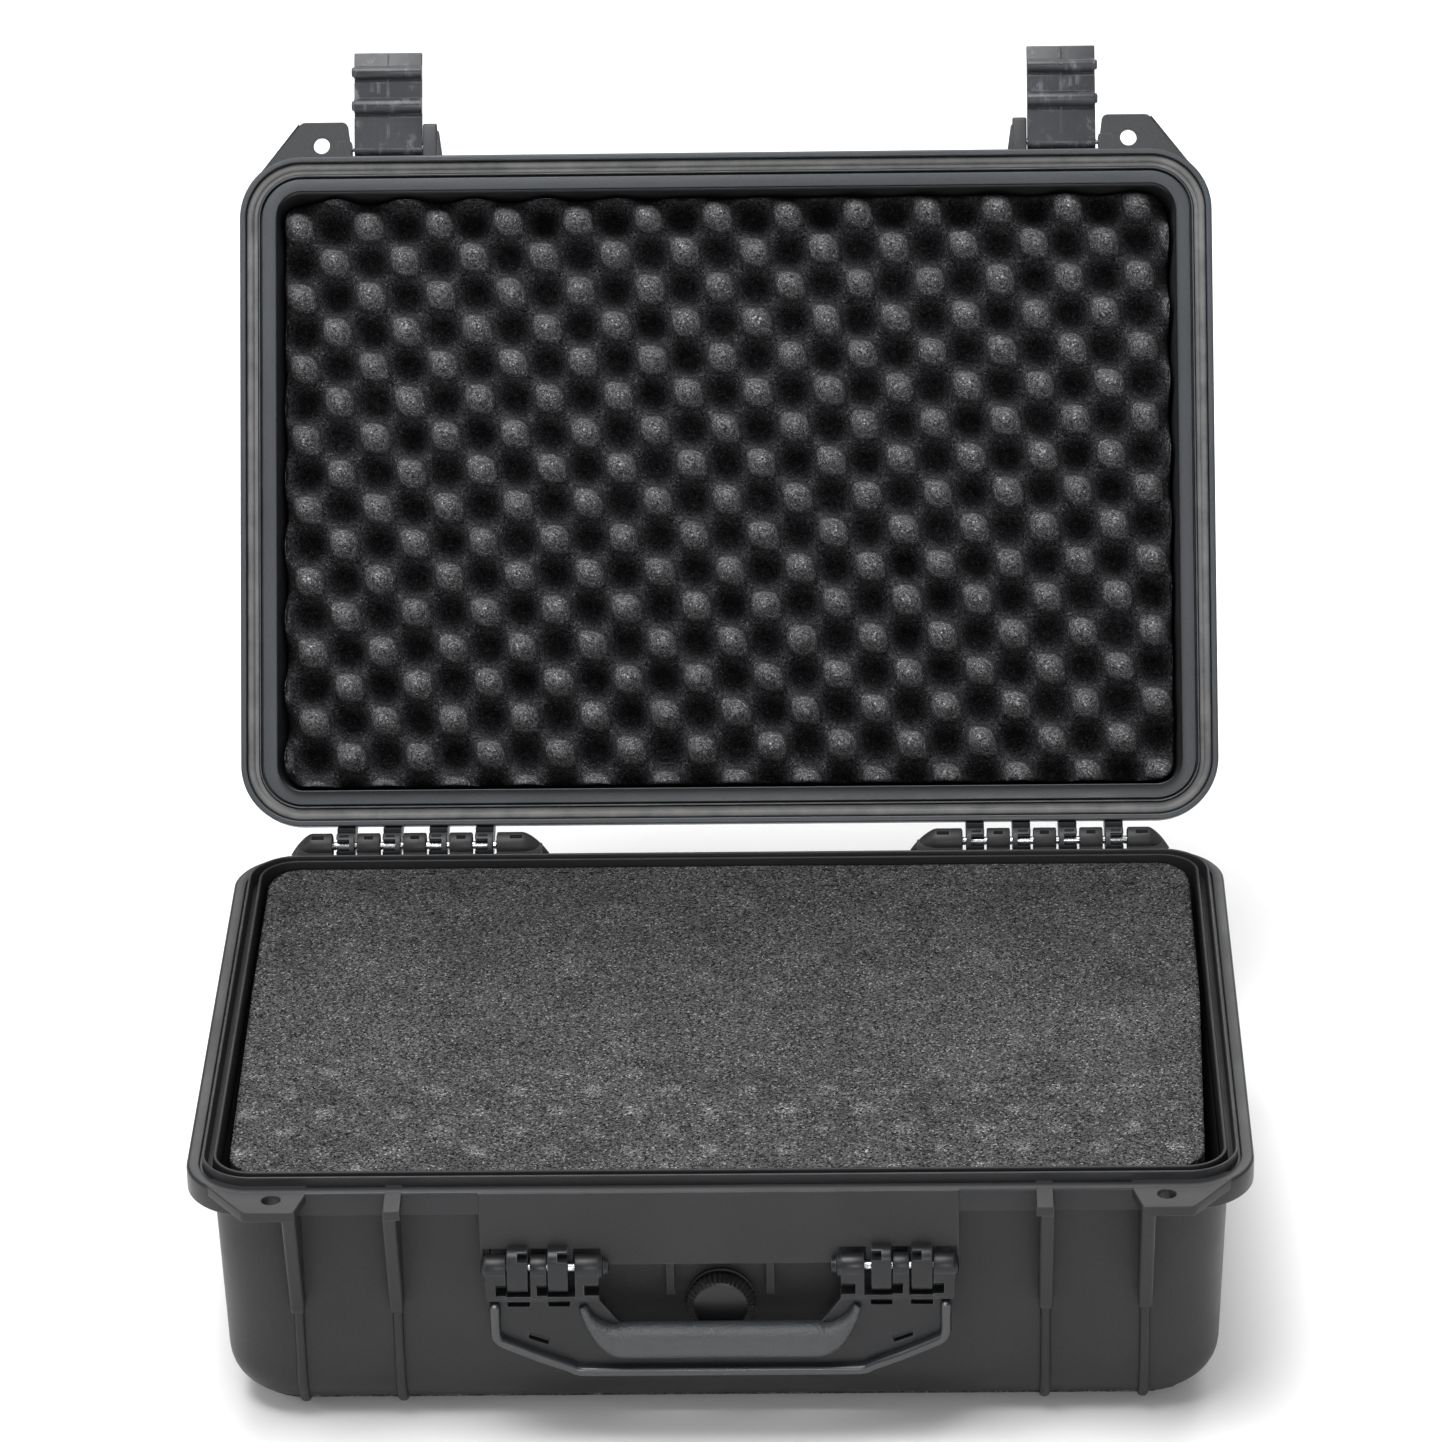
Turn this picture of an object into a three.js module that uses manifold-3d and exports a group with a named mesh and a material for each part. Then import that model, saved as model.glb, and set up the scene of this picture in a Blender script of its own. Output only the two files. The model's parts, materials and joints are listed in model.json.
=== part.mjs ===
// A hard equipment case, standing with its lid open. Millimetres, +Z up, front towards -Y.
// The origin is the centre of the flat panel under the base; the runner ribs reach 2 mm lower.
import * as THREE from "three";
import { mergeVertices } from "three/addons/utils/BufferGeometryUtils.js";
import Module from "manifold-3d";

const wasm = await Module();
wasm.setup();

// Driving dimensions
const WIDTH = 470;
const DEPTH = 325;
const FLANGE_R = 30;
const PART_Z = 123; // top of the base flange
const SKIRT_H = 11.5;
const WALL = 4;
const BODY_INSET = 12;
const DRAFT_X = 4;
const DRAFT_Y = 3;
const BASE_FILLET = 25;
const BASE_CORNER_R = 28;
const OPEN_INSET = 15;
const TONGUE_H = 4;
const STEP_H = 3.7; // the base's inner step, beside the tongue's groove
const LID_GAP = 1;
const LID_LAND = 4.5; // the lid's inner land, set up from its outer lip
const LID_SKIRT_TOP = 14;
const LID_TOP = 51;
const LID_CORNER_R = 24;
const LID_FILLET = 11;
const LID_OPEN_X = 217.3;
const LID_OPEN_Y = 145.6;
const LID_OPEN_R = 12;
const GROOVE_OUT = 2.8;
const GROOVE_IN = 10.3;
const GROOVE_TOP = 10;
const HINGE_Y = 172.2;
const HINGE_KNUCKLE_R = 6.2;
const HINGE_PIN_R = 2;
const LID_OPEN_DEG = 120;
const RIB_X = [143.2, 187];
const FIN_W = 5.5;
const RIB_W = 4.5;
const RIB_PROUD = 2.75;
const RUNNER_H = 2;
const TAB_T = 5;
const PADLOCK = { x: 195.2, y: -167.7, r: 4 };
const LATCH = { x: 162.9, w: 33, y: -166.5, dz: 5, r: 3.6, pin: 1.5, inner: 2.5, outer: 2 };
const HANDLE = { y: -166, z: 87, r: 5.8, pin: 1.8 };
const APRON = { x: 105, front: 163.3, z: 86.5 };
const VALVE = { z: 62, stem: 7, ring: 15.5, face: 12.4, pad: 15.5, seat: -151.9 };
const FIN_REACH = 178.5; // how far the fins and the tabs stand out from the middle
const GRIP = { half: 44, top: 59.6, low: 42.6, back: -161.6, front: -175.4 };
const FOAM_SIZE = { x: 217.5, y: 146, pad: 15, lower: 84 };
const PIN_PLAY = 0.35;
const GAP = 0.3;

const HX = WIDTH / 2;
const HY = DEPTH / 2;
const BASE_TOP_X = HX - BODY_INSET;
const BASE_TOP_Y = HY - BODY_INSET;
const WALL_TOP_Z = PART_Z - SKIRT_H;

// Solids
function solid(geometry) {
  const g = geometry.index ? geometry.toNonIndexed() : geometry;
  g.deleteAttribute("normal");
  g.deleteAttribute("uv");
  const merged = mergeVertices(g, 1e-4);
  return new wasm.Manifold(
    new wasm.Mesh({
      numProp: 3,
      vertProperties: merged.attributes.position.array,
      triVerts: new Uint32Array(merged.index.array),
    }),
  );
}

function join(...parts) {
  return parts.flat().reduce((a, b) => a.add(b));
}

function cut(body, ...tools) {
  return tools.flat().reduce((a, b) => a.subtract(b), body);
}

function prism(points, low, high, axis = "z") {
  const shape = new THREE.Shape(points.map(([a, b]) => new THREE.Vector2(a, b)));
  const g = new THREE.ExtrudeGeometry(shape, { depth: high - low, bevelEnabled: false });
  g.translate(0, 0, low);
  if (axis === "x") {
    // points are (y, z), extruded along x
    g.applyMatrix4(new THREE.Matrix4().set(0, 0, 1, 0, 1, 0, 0, 0, 0, 1, 0, 0, 0, 0, 0, 1));
  }
  if (axis === "y") {
    // points are (z, x), extruded along y
    g.applyMatrix4(new THREE.Matrix4().set(0, 1, 0, 0, 0, 0, 1, 0, 1, 0, 0, 0, 0, 0, 0, 1));
  }
  return solid(g);
}

function box(x0, x1, y0, y1, z0, z1) {
  const g = new THREE.BoxGeometry(x1 - x0, y1 - y0, z1 - z0);
  g.translate((x0 + x1) / 2, (y0 + y1) / 2, (z0 + z1) / 2);
  return solid(g);
}

function circle(r, a = 0, b = 0, n = 24, from = 0) {
  return Array.from({ length: n }, (_, i) => {
    const t = from + (2 * Math.PI * i) / n;
    return [a + r * Math.cos(t), b + r * Math.sin(t)];
  });
}

function rodX(r, x0, x1, y, z, n = 16) {
  return prism(circle(r, y, z, n, Math.PI / n), x0, x1, "x");
}

function rodY(r, y0, y1, x, z, n = 24) {
  return prism(circle(r, z, x, n, Math.PI / n), y0, y1, "y");
}

function roundRect(hx, hy, r, n = 6) {
  const points = [];
  const centres = [
    [hx - r, hy - r],
    [-hx + r, hy - r],
    [-hx + r, -hy + r],
    [hx - r, -hy + r],
  ];
  centres.forEach(([cx, cy], k) => {
    for (let i = 0; i <= n; i += 1) {
      const t = ((k + i / n) * Math.PI) / 2;
      points.push([cx + r * Math.cos(t), cy + r * Math.sin(t)]);
    }
  });
  return points;
}

// A closed body through a row of rings of points, each turning left seen from the far end
function skin(rings) {
  const count = rings[0].length;
  const position = [];
  const face = (a, b, c) => position.push(...a, ...b, ...c);
  for (let k = 0; k + 1 < rings.length; k += 1) {
    for (let i = 0; i < count; i += 1) {
      const j = (i + 1) % count;
      face(rings[k][i], rings[k][j], rings[k + 1][j]);
      face(rings[k][i], rings[k + 1][j], rings[k + 1][i]);
    }
  }
  const low = rings[0];
  const high = rings[rings.length - 1];
  for (let i = 1; i + 1 < count; i += 1) {
    face(low[0], low[i + 1], low[i]);
    face(high[0], high[i], high[i + 1]);
  }
  const g = new THREE.BufferGeometry();
  g.setAttribute("position", new THREE.BufferAttribute(new Float32Array(position), 3));
  return solid(g);
}

// A closed body through rounded rectangles [half x, half y, corner radius, z], low to high
function loft(sections) {
  return skin(sections.map(([hx, hy, r, z]) => roundRect(hx, hy, r).map(([x, y]) => [x, y, z])));
}

function ringPrism(insetOut, insetIn, z0, z1) {
  const outer = roundRect(HX - insetOut, HY - insetOut, FLANGE_R - insetOut);
  const inner = roundRect(HX - insetIn, HY - insetIn, Math.max(FLANGE_R - insetIn, 12));
  return cut(prism(outer, z0, z1), prism(inner, z0 - 1, z1 + 1));
}

function mirrorX(part) {
  return part.mirror([1, 0, 0]);
}

function bothSides(part) {
  return [part, mirrorX(part)];
}

// Half sizes of a drafted body at height z, with a fillet at its closed end
function baseSection(z, offset = 0) {
  const t = (WALL_TOP_Z - z) / WALL_TOP_Z;
  const hx = BASE_TOP_X - DRAFT_X * t - offset;
  const hy = BASE_TOP_Y - DRAFT_Y * t - offset;
  return [hx, hy];
}

function filletBody(offset, zLow, zHigh, radius, cornerR, steps = 5) {
  const sections = [];
  for (let i = 0; i <= steps; i += 1) {
    const t = (i / steps) * (Math.PI / 2);
    const z = zLow + radius * (1 - Math.cos(t));
    const inset = radius * (1 - Math.sin(t));
    const [hx, hy] = baseSection(z, offset);
    sections.push([hx - inset, hy - inset, Math.max(cornerR - inset * 0.55, 4), z]);
  }
  const [hx, hy] = baseSection(zHigh, offset);
  sections.push([hx, hy, cornerR, zHigh]);
  return loft(sections);
}

// ---- Base shell ----
const baseInnerR = BASE_FILLET - WALL;
const baseOuter = filletBody(0, 0, WALL_TOP_Z + 4, BASE_FILLET, BASE_CORNER_R);
const baseCavity = filletBody(WALL, WALL, PART_Z - 6, baseInnerR, BASE_CORNER_R - WALL);
const openX = HX - OPEN_INSET;
const openY = HY - OPEN_INSET;
const baseMouth = prism(roundRect(openX, openY, 22), PART_Z - 8, PART_Z + 10);
const flange = prism(roundRect(HX, HY, FLANGE_R, 8), WALL_TOP_Z, PART_Z);
const tongueOut = loft([
  [HX - 6.4, HY - 6.4, 23.6, PART_Z - 1],
  [HX - 6.4, HY - 6.4, 23.6, PART_Z],
  [HX - 7.2, HY - 7.2, 22.8, PART_Z + TONGUE_H],
]);
const tongueIn = loft([
  [HX - 9.4, HY - 9.4, 20.6, PART_Z - 2],
  [HX - 9.4, HY - 9.4, 20.6, PART_Z],
  [HX - 8.8, HY - 8.8, 21.2, PART_Z + TONGUE_H + 1],
]);
const tongue = cut(tongueOut, tongueIn);
const innerLand = cut(
  prism(roundRect(HX - 11.6, HY - 11.6, 18.4), PART_Z - 2, PART_Z + STEP_H),
  prism(roundRect(HX - 13.5, HY - 13.5, 17), PART_Z - 3, PART_Z + STEP_H + 1),
);

const tabPlan = [
  [228, -150],
  [224.2, -155.2],
  [207.1, -178.6],
  [205.6, -179],
  [184.6, -179],
  [184.2, -178.4],
  [180.4, -163],
  [180.4, -150],
];
const padlockHole = prism(circle(PADLOCK.r, PADLOCK.x, PADLOCK.y, 20), PART_Z - 40, PART_Z + 60);

const finProfile = [
  [-145, PART_Z],
  [-FIN_REACH, PART_Z],
  [-FIN_REACH + 0.3, PART_Z - TAB_T - 1],
  [-157.5, 62],
  [-155.6, 58],
  [-153, 55.6],
  [-145, 55],
];

// A rib's outline in the y-z plane: down the front, under the floor and up the back
function wrapProfile(zHigh) {
  const steps = 5;
  const [, hyTop] = baseSection(zHigh);
  const [, hyLow] = baseSection(BASE_FILLET);
  const side = [[hyTop + RIB_PROUD, zHigh]];
  for (let i = 0; i <= steps; i += 1) {
    const t = ((i / steps) * Math.PI) / 2;
    const proud = RIB_PROUD + (i / steps) * (RUNNER_H - RIB_PROUD);
    const y = hyLow - BASE_FILLET + (BASE_FILLET + proud) * Math.cos(t);
    side.push([y, BASE_FILLET - (BASE_FILLET + RUNNER_H) * Math.sin(t)]);
  }
  return [...side, ...side.map(([y, z]) => [-y, z]).reverse()];
}

const RIB_TOP = 62;
const baseFins = RIB_X.map((x) => prism(finProfile, x - FIN_W / 2, x + FIN_W / 2, "x"));
const finHead = box(138, RIB_X[0] + FIN_W / 2, -FIN_REACH, -150, PART_Z - TAB_T, PART_Z);
const baseWraps = RIB_X.map((x) => prism(wrapProfile(RIB_TOP), x - RIB_W / 2, x + RIB_W / 2, "x"));
const rearRibs = RIB_X.map((x) => {
  return box(x - RIB_W / 2, x + RIB_W / 2, 140, 151.5, RIB_TOP - 4, WALL_TOP_Z + 1);
});
const baseTab = prism(tabPlan, PART_Z - TAB_T, PART_Z);

// Rear hinge: base knuckles and end caps, with a web and a gusset down the wall
const BASE_KNUCKLES = [
  [87.7, 111.8],
  [123.35, 134.45],
  [145.55, 156.65],
  [167.75, 178.85],
  [190.5, 209.5],
];
const LID_FINGERS = [117.8, 140, 162.2, 184.4];
const FINGER_W = 8.7;
const hingeBore = rodX(HINGE_PIN_R + PIN_PLAY, 90.7, 206.5, HINGE_Y, PART_Z, 12);
const baseKnuckles = BASE_KNUCKLES.map(([x0, x1]) => {
  const knuckle = rodX(HINGE_KNUCKLE_R, x0, x1, HINGE_Y, PART_Z, 18);
  const web = prism(
    [
      [161, PART_Z - 0.6],
      [161, PART_Z - SKIRT_H],
      [HINGE_Y - 3, PART_Z - SKIRT_H],
      [HINGE_Y + 4.6, PART_Z - 4.1],
      [HINGE_Y, PART_Z],
      [HINGE_Y - 4.6, PART_Z - 0.6],
    ],
    x0,
    x1,
    "x",
  );
  return join(knuckle, web);
});
const baseGussets = BASE_KNUCKLES.map(([x0, x1]) => {
  const mid = (x0 + x1) / 2;
  return prism(
    [
      [148, PART_Z - SKIRT_H + 1],
      [148, PART_Z - 46],
      [151, PART_Z - 46],
      [HINGE_Y - 4, PART_Z - SKIRT_H - 4],
      [HINGE_Y - 3, PART_Z - SKIRT_H + 1],
    ],
    mid - 2,
    mid + 2,
    "x",
  );
});

// Handle apron with pockets behind the handle's knuckles, and the base's own knuckles
const HANDLE_KNUCKLES = [
  [93.6, 102.9],
  [75.7, 83.0],
  [53.0, 63.4],
];
const FIXED_KNUCKLES = [
  [83.9, 93.2],
  [66.3, 75.3],
];
const apron = box(-APRON.x, APRON.x, -APRON.front, -146, APRON.z, WALL_TOP_Z + 1);
const apronFace = box(-APRON.x, APRON.x, -APRON.front, -155, WALL_TOP_Z - 1, PART_Z - 0.3);
const apronIn = APRON.x - WALL;
const apronHollow = box(-apronIn, apronIn, -APRON.front + 4.5, -150.9, APRON.z - 1, WALL_TOP_Z - 3);
const apronRibs = [22, 48, 66, 75, 84, 93].map((x) => {
  return box(x - 1.6, x + 1.6, -APRON.front + 2, -146, x < 30 ? 67 : APRON.z, WALL_TOP_Z);
});
const valveRibTrim = box(15, 30, -175, -156.5, 60, APRON.z);
const knucklePockets = HANDLE_KNUCKLES.map(([x0, x1]) => {
  return rodX(HANDLE.r + 0.9, x0 - 0.6, x1 + 0.6, HANDLE.y, HANDLE.z, 18);
});
const armClear = HANDLE_KNUCKLES.map(([x0, x1]) => {
  return box(x0 - 0.6, x1 + 0.6, HANDLE.y - 8, HANDLE.y + 6.7, HANDLE.z - 14, HANDLE.z);
});
const fixedKnuckles = FIXED_KNUCKLES.map(([x0, x1]) => {
  return prism(
    [
      [-171.8, 88],
      [-171.6, 79],
      [-170.2, 76.4],
      [-167.5, 75.4],
      [-164, 76.4],
      [-161.2, 79.5],
      [-160.2, 84],
      [-158.9, 86.6],
      [-158.9, 97.6],
      [-166.5, 97.6],
      [-170.2, 95],
      [-171.5, 91.5],
    ],
    x0,
    x1,
    "x",
  );
});
const handleBore = rodX(HANDLE.pin + PIN_PLAY, 56.7, 100.3, HANDLE.y, HANDLE.z, 12);

// Purge valve hole through the front wall
const valveHole = rodY(VALVE.stem + 2.3, -160, -140, 0, VALVE.z);
const valvePad = rodY(VALVE.pad, -151.6, -146, 0, VALVE.z, 36);

let baseShell = join(
  baseOuter,
  flange,
  bothSides(join(baseFins, finHead, baseWraps, rearRibs, baseTab)),
  bothSides(join(baseKnuckles, baseGussets)),
  valvePad,
);
baseShell = join(baseShell, cut(join(apron, apronFace), apronHollow));
baseShell = join(baseShell, bothSides(join(apronRibs)));
baseShell = cut(baseShell, bothSides(valveRibTrim));
baseShell = cut(baseShell, bothSides(join(...knucklePockets, ...armClear)));
baseShell = join(baseShell, bothSides(join(fixedKnuckles)));
baseShell = cut(baseShell, baseCavity, baseMouth);
baseShell = join(baseShell, tongue, innerLand);
baseShell = cut(
  baseShell,
  bothSides(padlockHole),
  bothSides(hingeBore),
  bothSides(handleBore),
  valveHole,
);

// ---- Base foam ----
function foamSlab(zLow, zHigh) {
  const slab = filletBody(WALL + 1.6, WALL + GAP, PART_Z, baseInnerR, BASE_CORNER_R - WALL);
  return slab.intersect(box(-FOAM_SIZE.x, FOAM_SIZE.x, -FOAM_SIZE.y, FOAM_SIZE.y, zLow, zHigh));
}
const nutPocket = rodY(17, -150, -136.5, 0, VALVE.z, 24);
const foamPad = foamSlab(WALL + GAP, FOAM_SIZE.pad);
const foamLower = cut(foamSlab(FOAM_SIZE.pad + GAP, FOAM_SIZE.lower), nutPocket);
const foamUpper = foamSlab(FOAM_SIZE.lower + GAP, PART_Z - GAP);

// ---- Purge valve ----
const bushing = cut(
  join(
    rodY(VALVE.stem + 2, -154.3, -137.2, 0, VALVE.z),
    rodY(14.5, -154.3, VALVE.seat, 0, VALVE.z),
  ),
  rodY(VALVE.stem, -160, -139.6, 0, VALVE.z),
  rodY(4, -145, -130, 0, VALVE.z, 24),
);
const nut = cut(
  prism(circle(15, VALVE.z, 0, 6), -144.4, -139.6, "y"),
  rodY(VALVE.stem + 2.3, -150, -130, 0, VALVE.z),
);
const membrane = rodY(VALVE.stem - GAP, -141, -139.9, 0, VALVE.z, 24);
const knobSeal = cut(
  rodY(11.6, -156.6, -154.6, 0, VALVE.z),
  rodY(9.2, -160, -150, 0, VALVE.z),
);

function knobBody() {
  const profile = [
    [0, 0],
    [VALVE.ring - 0.6, 0],
    [VALVE.ring, 0.6],
    [VALVE.ring, 1.6],
    [VALVE.face + 0.5, 4.6],
    [VALVE.face, 5],
    [VALVE.face * 0.55, 5.7],
    [0, 6],
  ].map(([r, y]) => new THREE.Vector2(r, y));
  const g = new THREE.LatheGeometry(profile, 24);
  // the lathe's axis is +Y; the knob faces -Y
  g.rotateX(Math.PI);
  g.translate(0, -153.9, VALVE.z);
  return solid(g);
}
const knobFlutes = Array.from({ length: 16 }, (_, i) => {
  const t = (2 * Math.PI * i) / 16;
  const r = VALVE.ring + 0.2;
  return rodY(1.1, -158.2, -150, r * Math.sin(t), VALVE.z + r * Math.cos(t), 6);
});
const knobHollow = join(
  rodY(14.8, -155, -150, 0, VALVE.z),
  cut(rodY(12, -156.9, -150, 0, VALVE.z), rodY(6, -158, -149, 0, VALVE.z)),
);
const knobStem = rodY(VALVE.stem - 0.5, -158, -142, 0, VALVE.z);
const knob = join(cut(knobBody(), knobFlutes, knobHollow), knobStem);

// ---- Carry handle ----
const FRAME_OUT = [
  [101.5, 73.4],
  [101.5, 50.4],
  [98.6, 46.6],
  [63, 34.2],
  [58.5, 33.2],
];
const FRAME_IN = [
  [96.6, 73.4],
  [96.6, 54.4],
  [93.8, 51.4],
  [61, 39.4],
  [57.6, 38.6],
];
const symmetric = (half) => [...half, ...half.map(([x, z]) => [-x, z]).reverse()];
const swap = (points) => points.map(([x, z]) => [z, x]);
const webPlate = prism(
  swap([
    [100.5, 73.4],
    [100.5, 50.8],
    [62, 35.4],
    [-62, 35.4],
    [-100.5, 50.8],
    [-100.5, 73.4],
    [-53.4, 73.4],
    [-52.8, 70.6],
    [-44.4, 59.4],
    [-36, 57],
    [36, 57],
    [44.4, 59.4],
    [52.8, 70.6],
    [53.4, 73.4],
  ]),
  -167.2,
  -163.6,
  "y",
);
const frameRail = cut(
  prism(swap(symmetric(FRAME_OUT)), -171.2, -162.4, "y"),
  prism(swap(symmetric(FRAME_IN)), -175, -150, "y"),
  box(-97, 97, -180, -150, 60, 90),
);

// The grip's rounded bar, and the two arms that bend up to the inner knuckles
function capsule(yMid, zMid, ry, rz, n) {
  const squareness = 0.72;
  const bulge = (v) => Math.sign(v) * Math.abs(v) ** squareness;
  return Array.from({ length: n }, (_, i) => {
    const t = (2 * Math.PI * (i + 0.5)) / n;
    return [yMid + ry * bulge(Math.cos(t)), zMid + rz * bulge(Math.sin(t))];
  });
}
const gripY = (GRIP.back + GRIP.front) / 2;
const gripZ = (GRIP.top + GRIP.low) / 2;
const gripOutline = capsule(gripY, gripZ, (GRIP.back - GRIP.front) / 2, (GRIP.top - GRIP.low) / 2, 20);
const gripBar = prism(gripOutline, -GRIP.half, GRIP.half, "x");

function armLoft() {
  // x, z, half width, y, half depth, and the bend in degrees
  const stations = [
    [GRIP.half - 0.1, gripZ, 8.5, gripY, 6.9, 0],
    [49.5, 53.6, 6.6, -168.5, 6.2, 30],
    [54.6, 57.4, 4.4, -168.2, 5.2, 48],
    [57.8, 62, 3.1, -167.8, 4.3, 64],
    [60, 69, 2.2, -167, 3.2, 80],
  ];
  const rings = stations.map(([x, z, half, y, deep, bend]) => {
    const a = (bend * Math.PI) / 180;
    const outline = capsule(0, 0, deep, half, 14);
    return outline.map(([dy, dn]) => [x - dn * Math.sin(a), y + dy, z + dn * Math.cos(a)]);
  });
  return skin(rings);
}

const handleLugs = HANDLE_KNUCKLES.map(([x0, x1]) => {
  const knuckle = rodX(HANDLE.r, x0, x1, HANDLE.y, HANDLE.z, 18);
  const lug = box(x0, x1, HANDLE.y - 4.6, HANDLE.y + 3.2, 70.5, HANDLE.z);
  const shelf = box(x0, x1, HANDLE.y - 6.6, HANDLE.y - 1, 70.5, 75.2);
  return join(knuckle, lug, shelf);
});
const lugCores = HANDLE_KNUCKLES.slice(0, 2).map(([x0, x1]) => {
  return box(x0 + 4.2, x1 + 1, HANDLE.y - 9, HANDLE.y - 0.6, 75.2, 81.4);
});
const webSlots = FIXED_KNUCKLES.map(([x0, x1]) => box(x0 - 0.4, x1 + 0.4, -180, -150, 68.2, 74));
let handle = join(
  webPlate,
  frameRail,
  gripBar,
  bothSides(armLoft()),
  bothSides(join(...handleLugs)),
);
handle = cut(
  handle,
  bothSides(join(...lugCores)),
  bothSides(join(...webSlots)),
  bothSides(handleBore),
);

// ---- Lid shell, drawn closed ----
const lidZ = (dz) => PART_Z + dz;
function lidBodyLoft(hx, hy, r, z0, z1, fillet, draft) {
  const sections = [[hx, hy, r, z0]];
  for (let i = 0; i <= 4; i += 1) {
    const t = (i / 4) * (Math.PI / 2);
    const inset = fillet * (1 - Math.cos(t));
    const z = z1 - fillet + fillet * Math.sin(t);
    const d = (draft * (z - z0)) / (z1 - z0);
    sections.push([hx - d - inset, hy - d - inset, Math.max(r - inset * 0.5, 5), z]);
  }
  return loft(sections);
}
const lidBody = lidBodyLoft(
  BASE_TOP_X,
  BASE_TOP_Y,
  LID_CORNER_R,
  lidZ(LID_SKIRT_TOP - 3),
  lidZ(LID_TOP),
  LID_FILLET,
  2,
);
const lidFlange = prism(roundRect(HX, HY, FLANGE_R, 8), lidZ(LID_GAP), lidZ(LID_SKIRT_TOP));
const lidCavity = lidBodyLoft(
  LID_OPEN_X,
  LID_OPEN_Y,
  LID_OPEN_R,
  lidZ(-5),
  lidZ(LID_TOP - WALL),
  LID_FILLET - 5,
  2.5,
);
const lidGroove = ringPrism(GROOVE_OUT, GROOVE_IN, lidZ(-2), lidZ(GROOVE_TOP));
const lidLandCut = ringPrism(GROOVE_IN - 0.5, 18.5, lidZ(-2), lidZ(LID_LAND));
const lidTab = prism(tabPlan, lidZ(LID_GAP), lidZ(LID_GAP + TAB_T));
const tabBoss = box(180.4, 187.6, -171, -150, lidZ(LID_GAP), lidZ(10));
const latchEar = prism(
  [
    [-158, lidZ(LID_GAP)],
    [-176.4, lidZ(LID_GAP)],
    [-177.4, lidZ(LID_GAP + 1.5)],
    [-172, lidZ(10)],
    [-150, lidZ(26)],
    [-146, lidZ(26)],
    [-146, lidZ(LID_SKIRT_TOP)],
    [-158, lidZ(LID_SKIRT_TOP)],
  ],
  134.2,
  145.9,
  "x",
);
const bossGusset = prism(
  [
    [-158, lidZ(9)],
    [-170.5, lidZ(9)],
    [-170.5, lidZ(10)],
    [-150, lidZ(26)],
    [-146, lidZ(26)],
    [-146, lidZ(LID_SKIRT_TOP)],
    [-158, lidZ(LID_SKIRT_TOP)],
  ],
  180.4,
  187.6,
  "x",
);
const lidFingers = LID_FINGERS.map((x) => {
  const x0 = x - FINGER_W / 2;
  const x1 = x + FINGER_W / 2;
  const knuckle = rodX(HINGE_KNUCKLE_R, x0, x1, HINGE_Y, PART_Z, 18);
  const gusset = prism(
    [
      [HINGE_Y + HINGE_KNUCKLE_R, lidZ(0)],
      [HINGE_Y + HINGE_KNUCKLE_R - 0.4, lidZ(5)],
      [HINGE_Y + 3.6, lidZ(10)],
      [151, lidZ(36)],
      [146, lidZ(36)],
      [146, lidZ(LID_SKIRT_TOP)],
      [161, lidZ(LID_SKIRT_TOP)],
      [161, lidZ(LID_GAP + 0.6)],
      [HINGE_Y - 5.4, lidZ(3)],
      [HINGE_Y, lidZ(0)],
    ],
    x0,
    x1,
    "x",
  );
  return join(knuckle, gusset);
});
const lidTopRibs = RIB_X.map((x) => {
  return box(x - RIB_W / 2, x + RIB_W / 2, -132, 132, lidZ(LID_TOP - 1), lidZ(LID_TOP + 1.6));
});
const latchBore = rodX(LATCH.pin + PIN_PLAY, 137.7, 186, LATCH.y, lidZ(LATCH.dz), 12);
let lidShell = join(
  lidBody,
  lidFlange,
  bothSides(join(lidTab, tabBoss, bossGusset, latchEar)),
  bothSides(join(...lidFingers)),
  bothSides(join(...lidTopRibs)),
);
lidShell = cut(
  lidShell,
  lidCavity,
  lidGroove,
  lidLandCut,
  bothSides(padlockHole),
  bothSides(latchBore),
  bothSides(hingeBore),
);

const gasket = ringPrism(3.4, 8.2, lidZ(TONGUE_H + 1), lidZ(GROOVE_TOP - GAP));
const lidFoam = lidBodyLoft(
  LID_OPEN_X - 3,
  LID_OPEN_Y - 3,
  LID_OPEN_R - 1,
  lidZ(LID_LAND),
  lidZ(LID_TOP - WALL - GAP),
  LID_FILLET - 5,
  1.2,
);

// ---- Latches, drawn folded up away from the base: along -Y from the pin ----
function latchBody() {
  const y = (a) => LATCH.y - a;
  const z = (b) => lidZ(LATCH.dz) + b;
  const profile = [
    [y(0), z(LATCH.outer)],
    [y(0), z(-LATCH.inner)],
    [y(16.6), z(-LATCH.inner)],
    [y(16.9), z(-LATCH.inner - 3.2)],
    [y(18.2), z(-LATCH.inner - 4.9)],
    [y(20.4), z(-LATCH.inner - 5.2)],
    [y(22.8), z(-LATCH.inner - 4.6)],
    [y(24.2), z(-LATCH.inner - 2.6)],
    [y(24.6), z(-LATCH.inner)],
    [y(33.0), z(-LATCH.inner)],
    [y(33.4), z(-LATCH.inner - 2.2)],
    [y(35.0), z(-LATCH.inner - 3.8)],
    [y(37.2), z(-LATCH.inner - 3.9)],
    [y(39.2), z(-LATCH.inner - 2.4)],
    [y(40.2), z(-LATCH.inner)],
    [y(46.7), z(-LATCH.inner + 1.6)],
    [y(46.7), z(LATCH.outer + 1.6)],
    [y(40), z(LATCH.outer + 0.4)],
  ];
  const x0 = LATCH.x - LATCH.w / 2;
  const x1 = LATCH.x + LATCH.w / 2;
  const plate = prism(profile, x0, x1, "x");
  const barrel = rodX(LATCH.r, x0, x1, LATCH.y, lidZ(LATCH.dz), 24);
  return cut(join(plate, barrel), latchBore);
}
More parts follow.
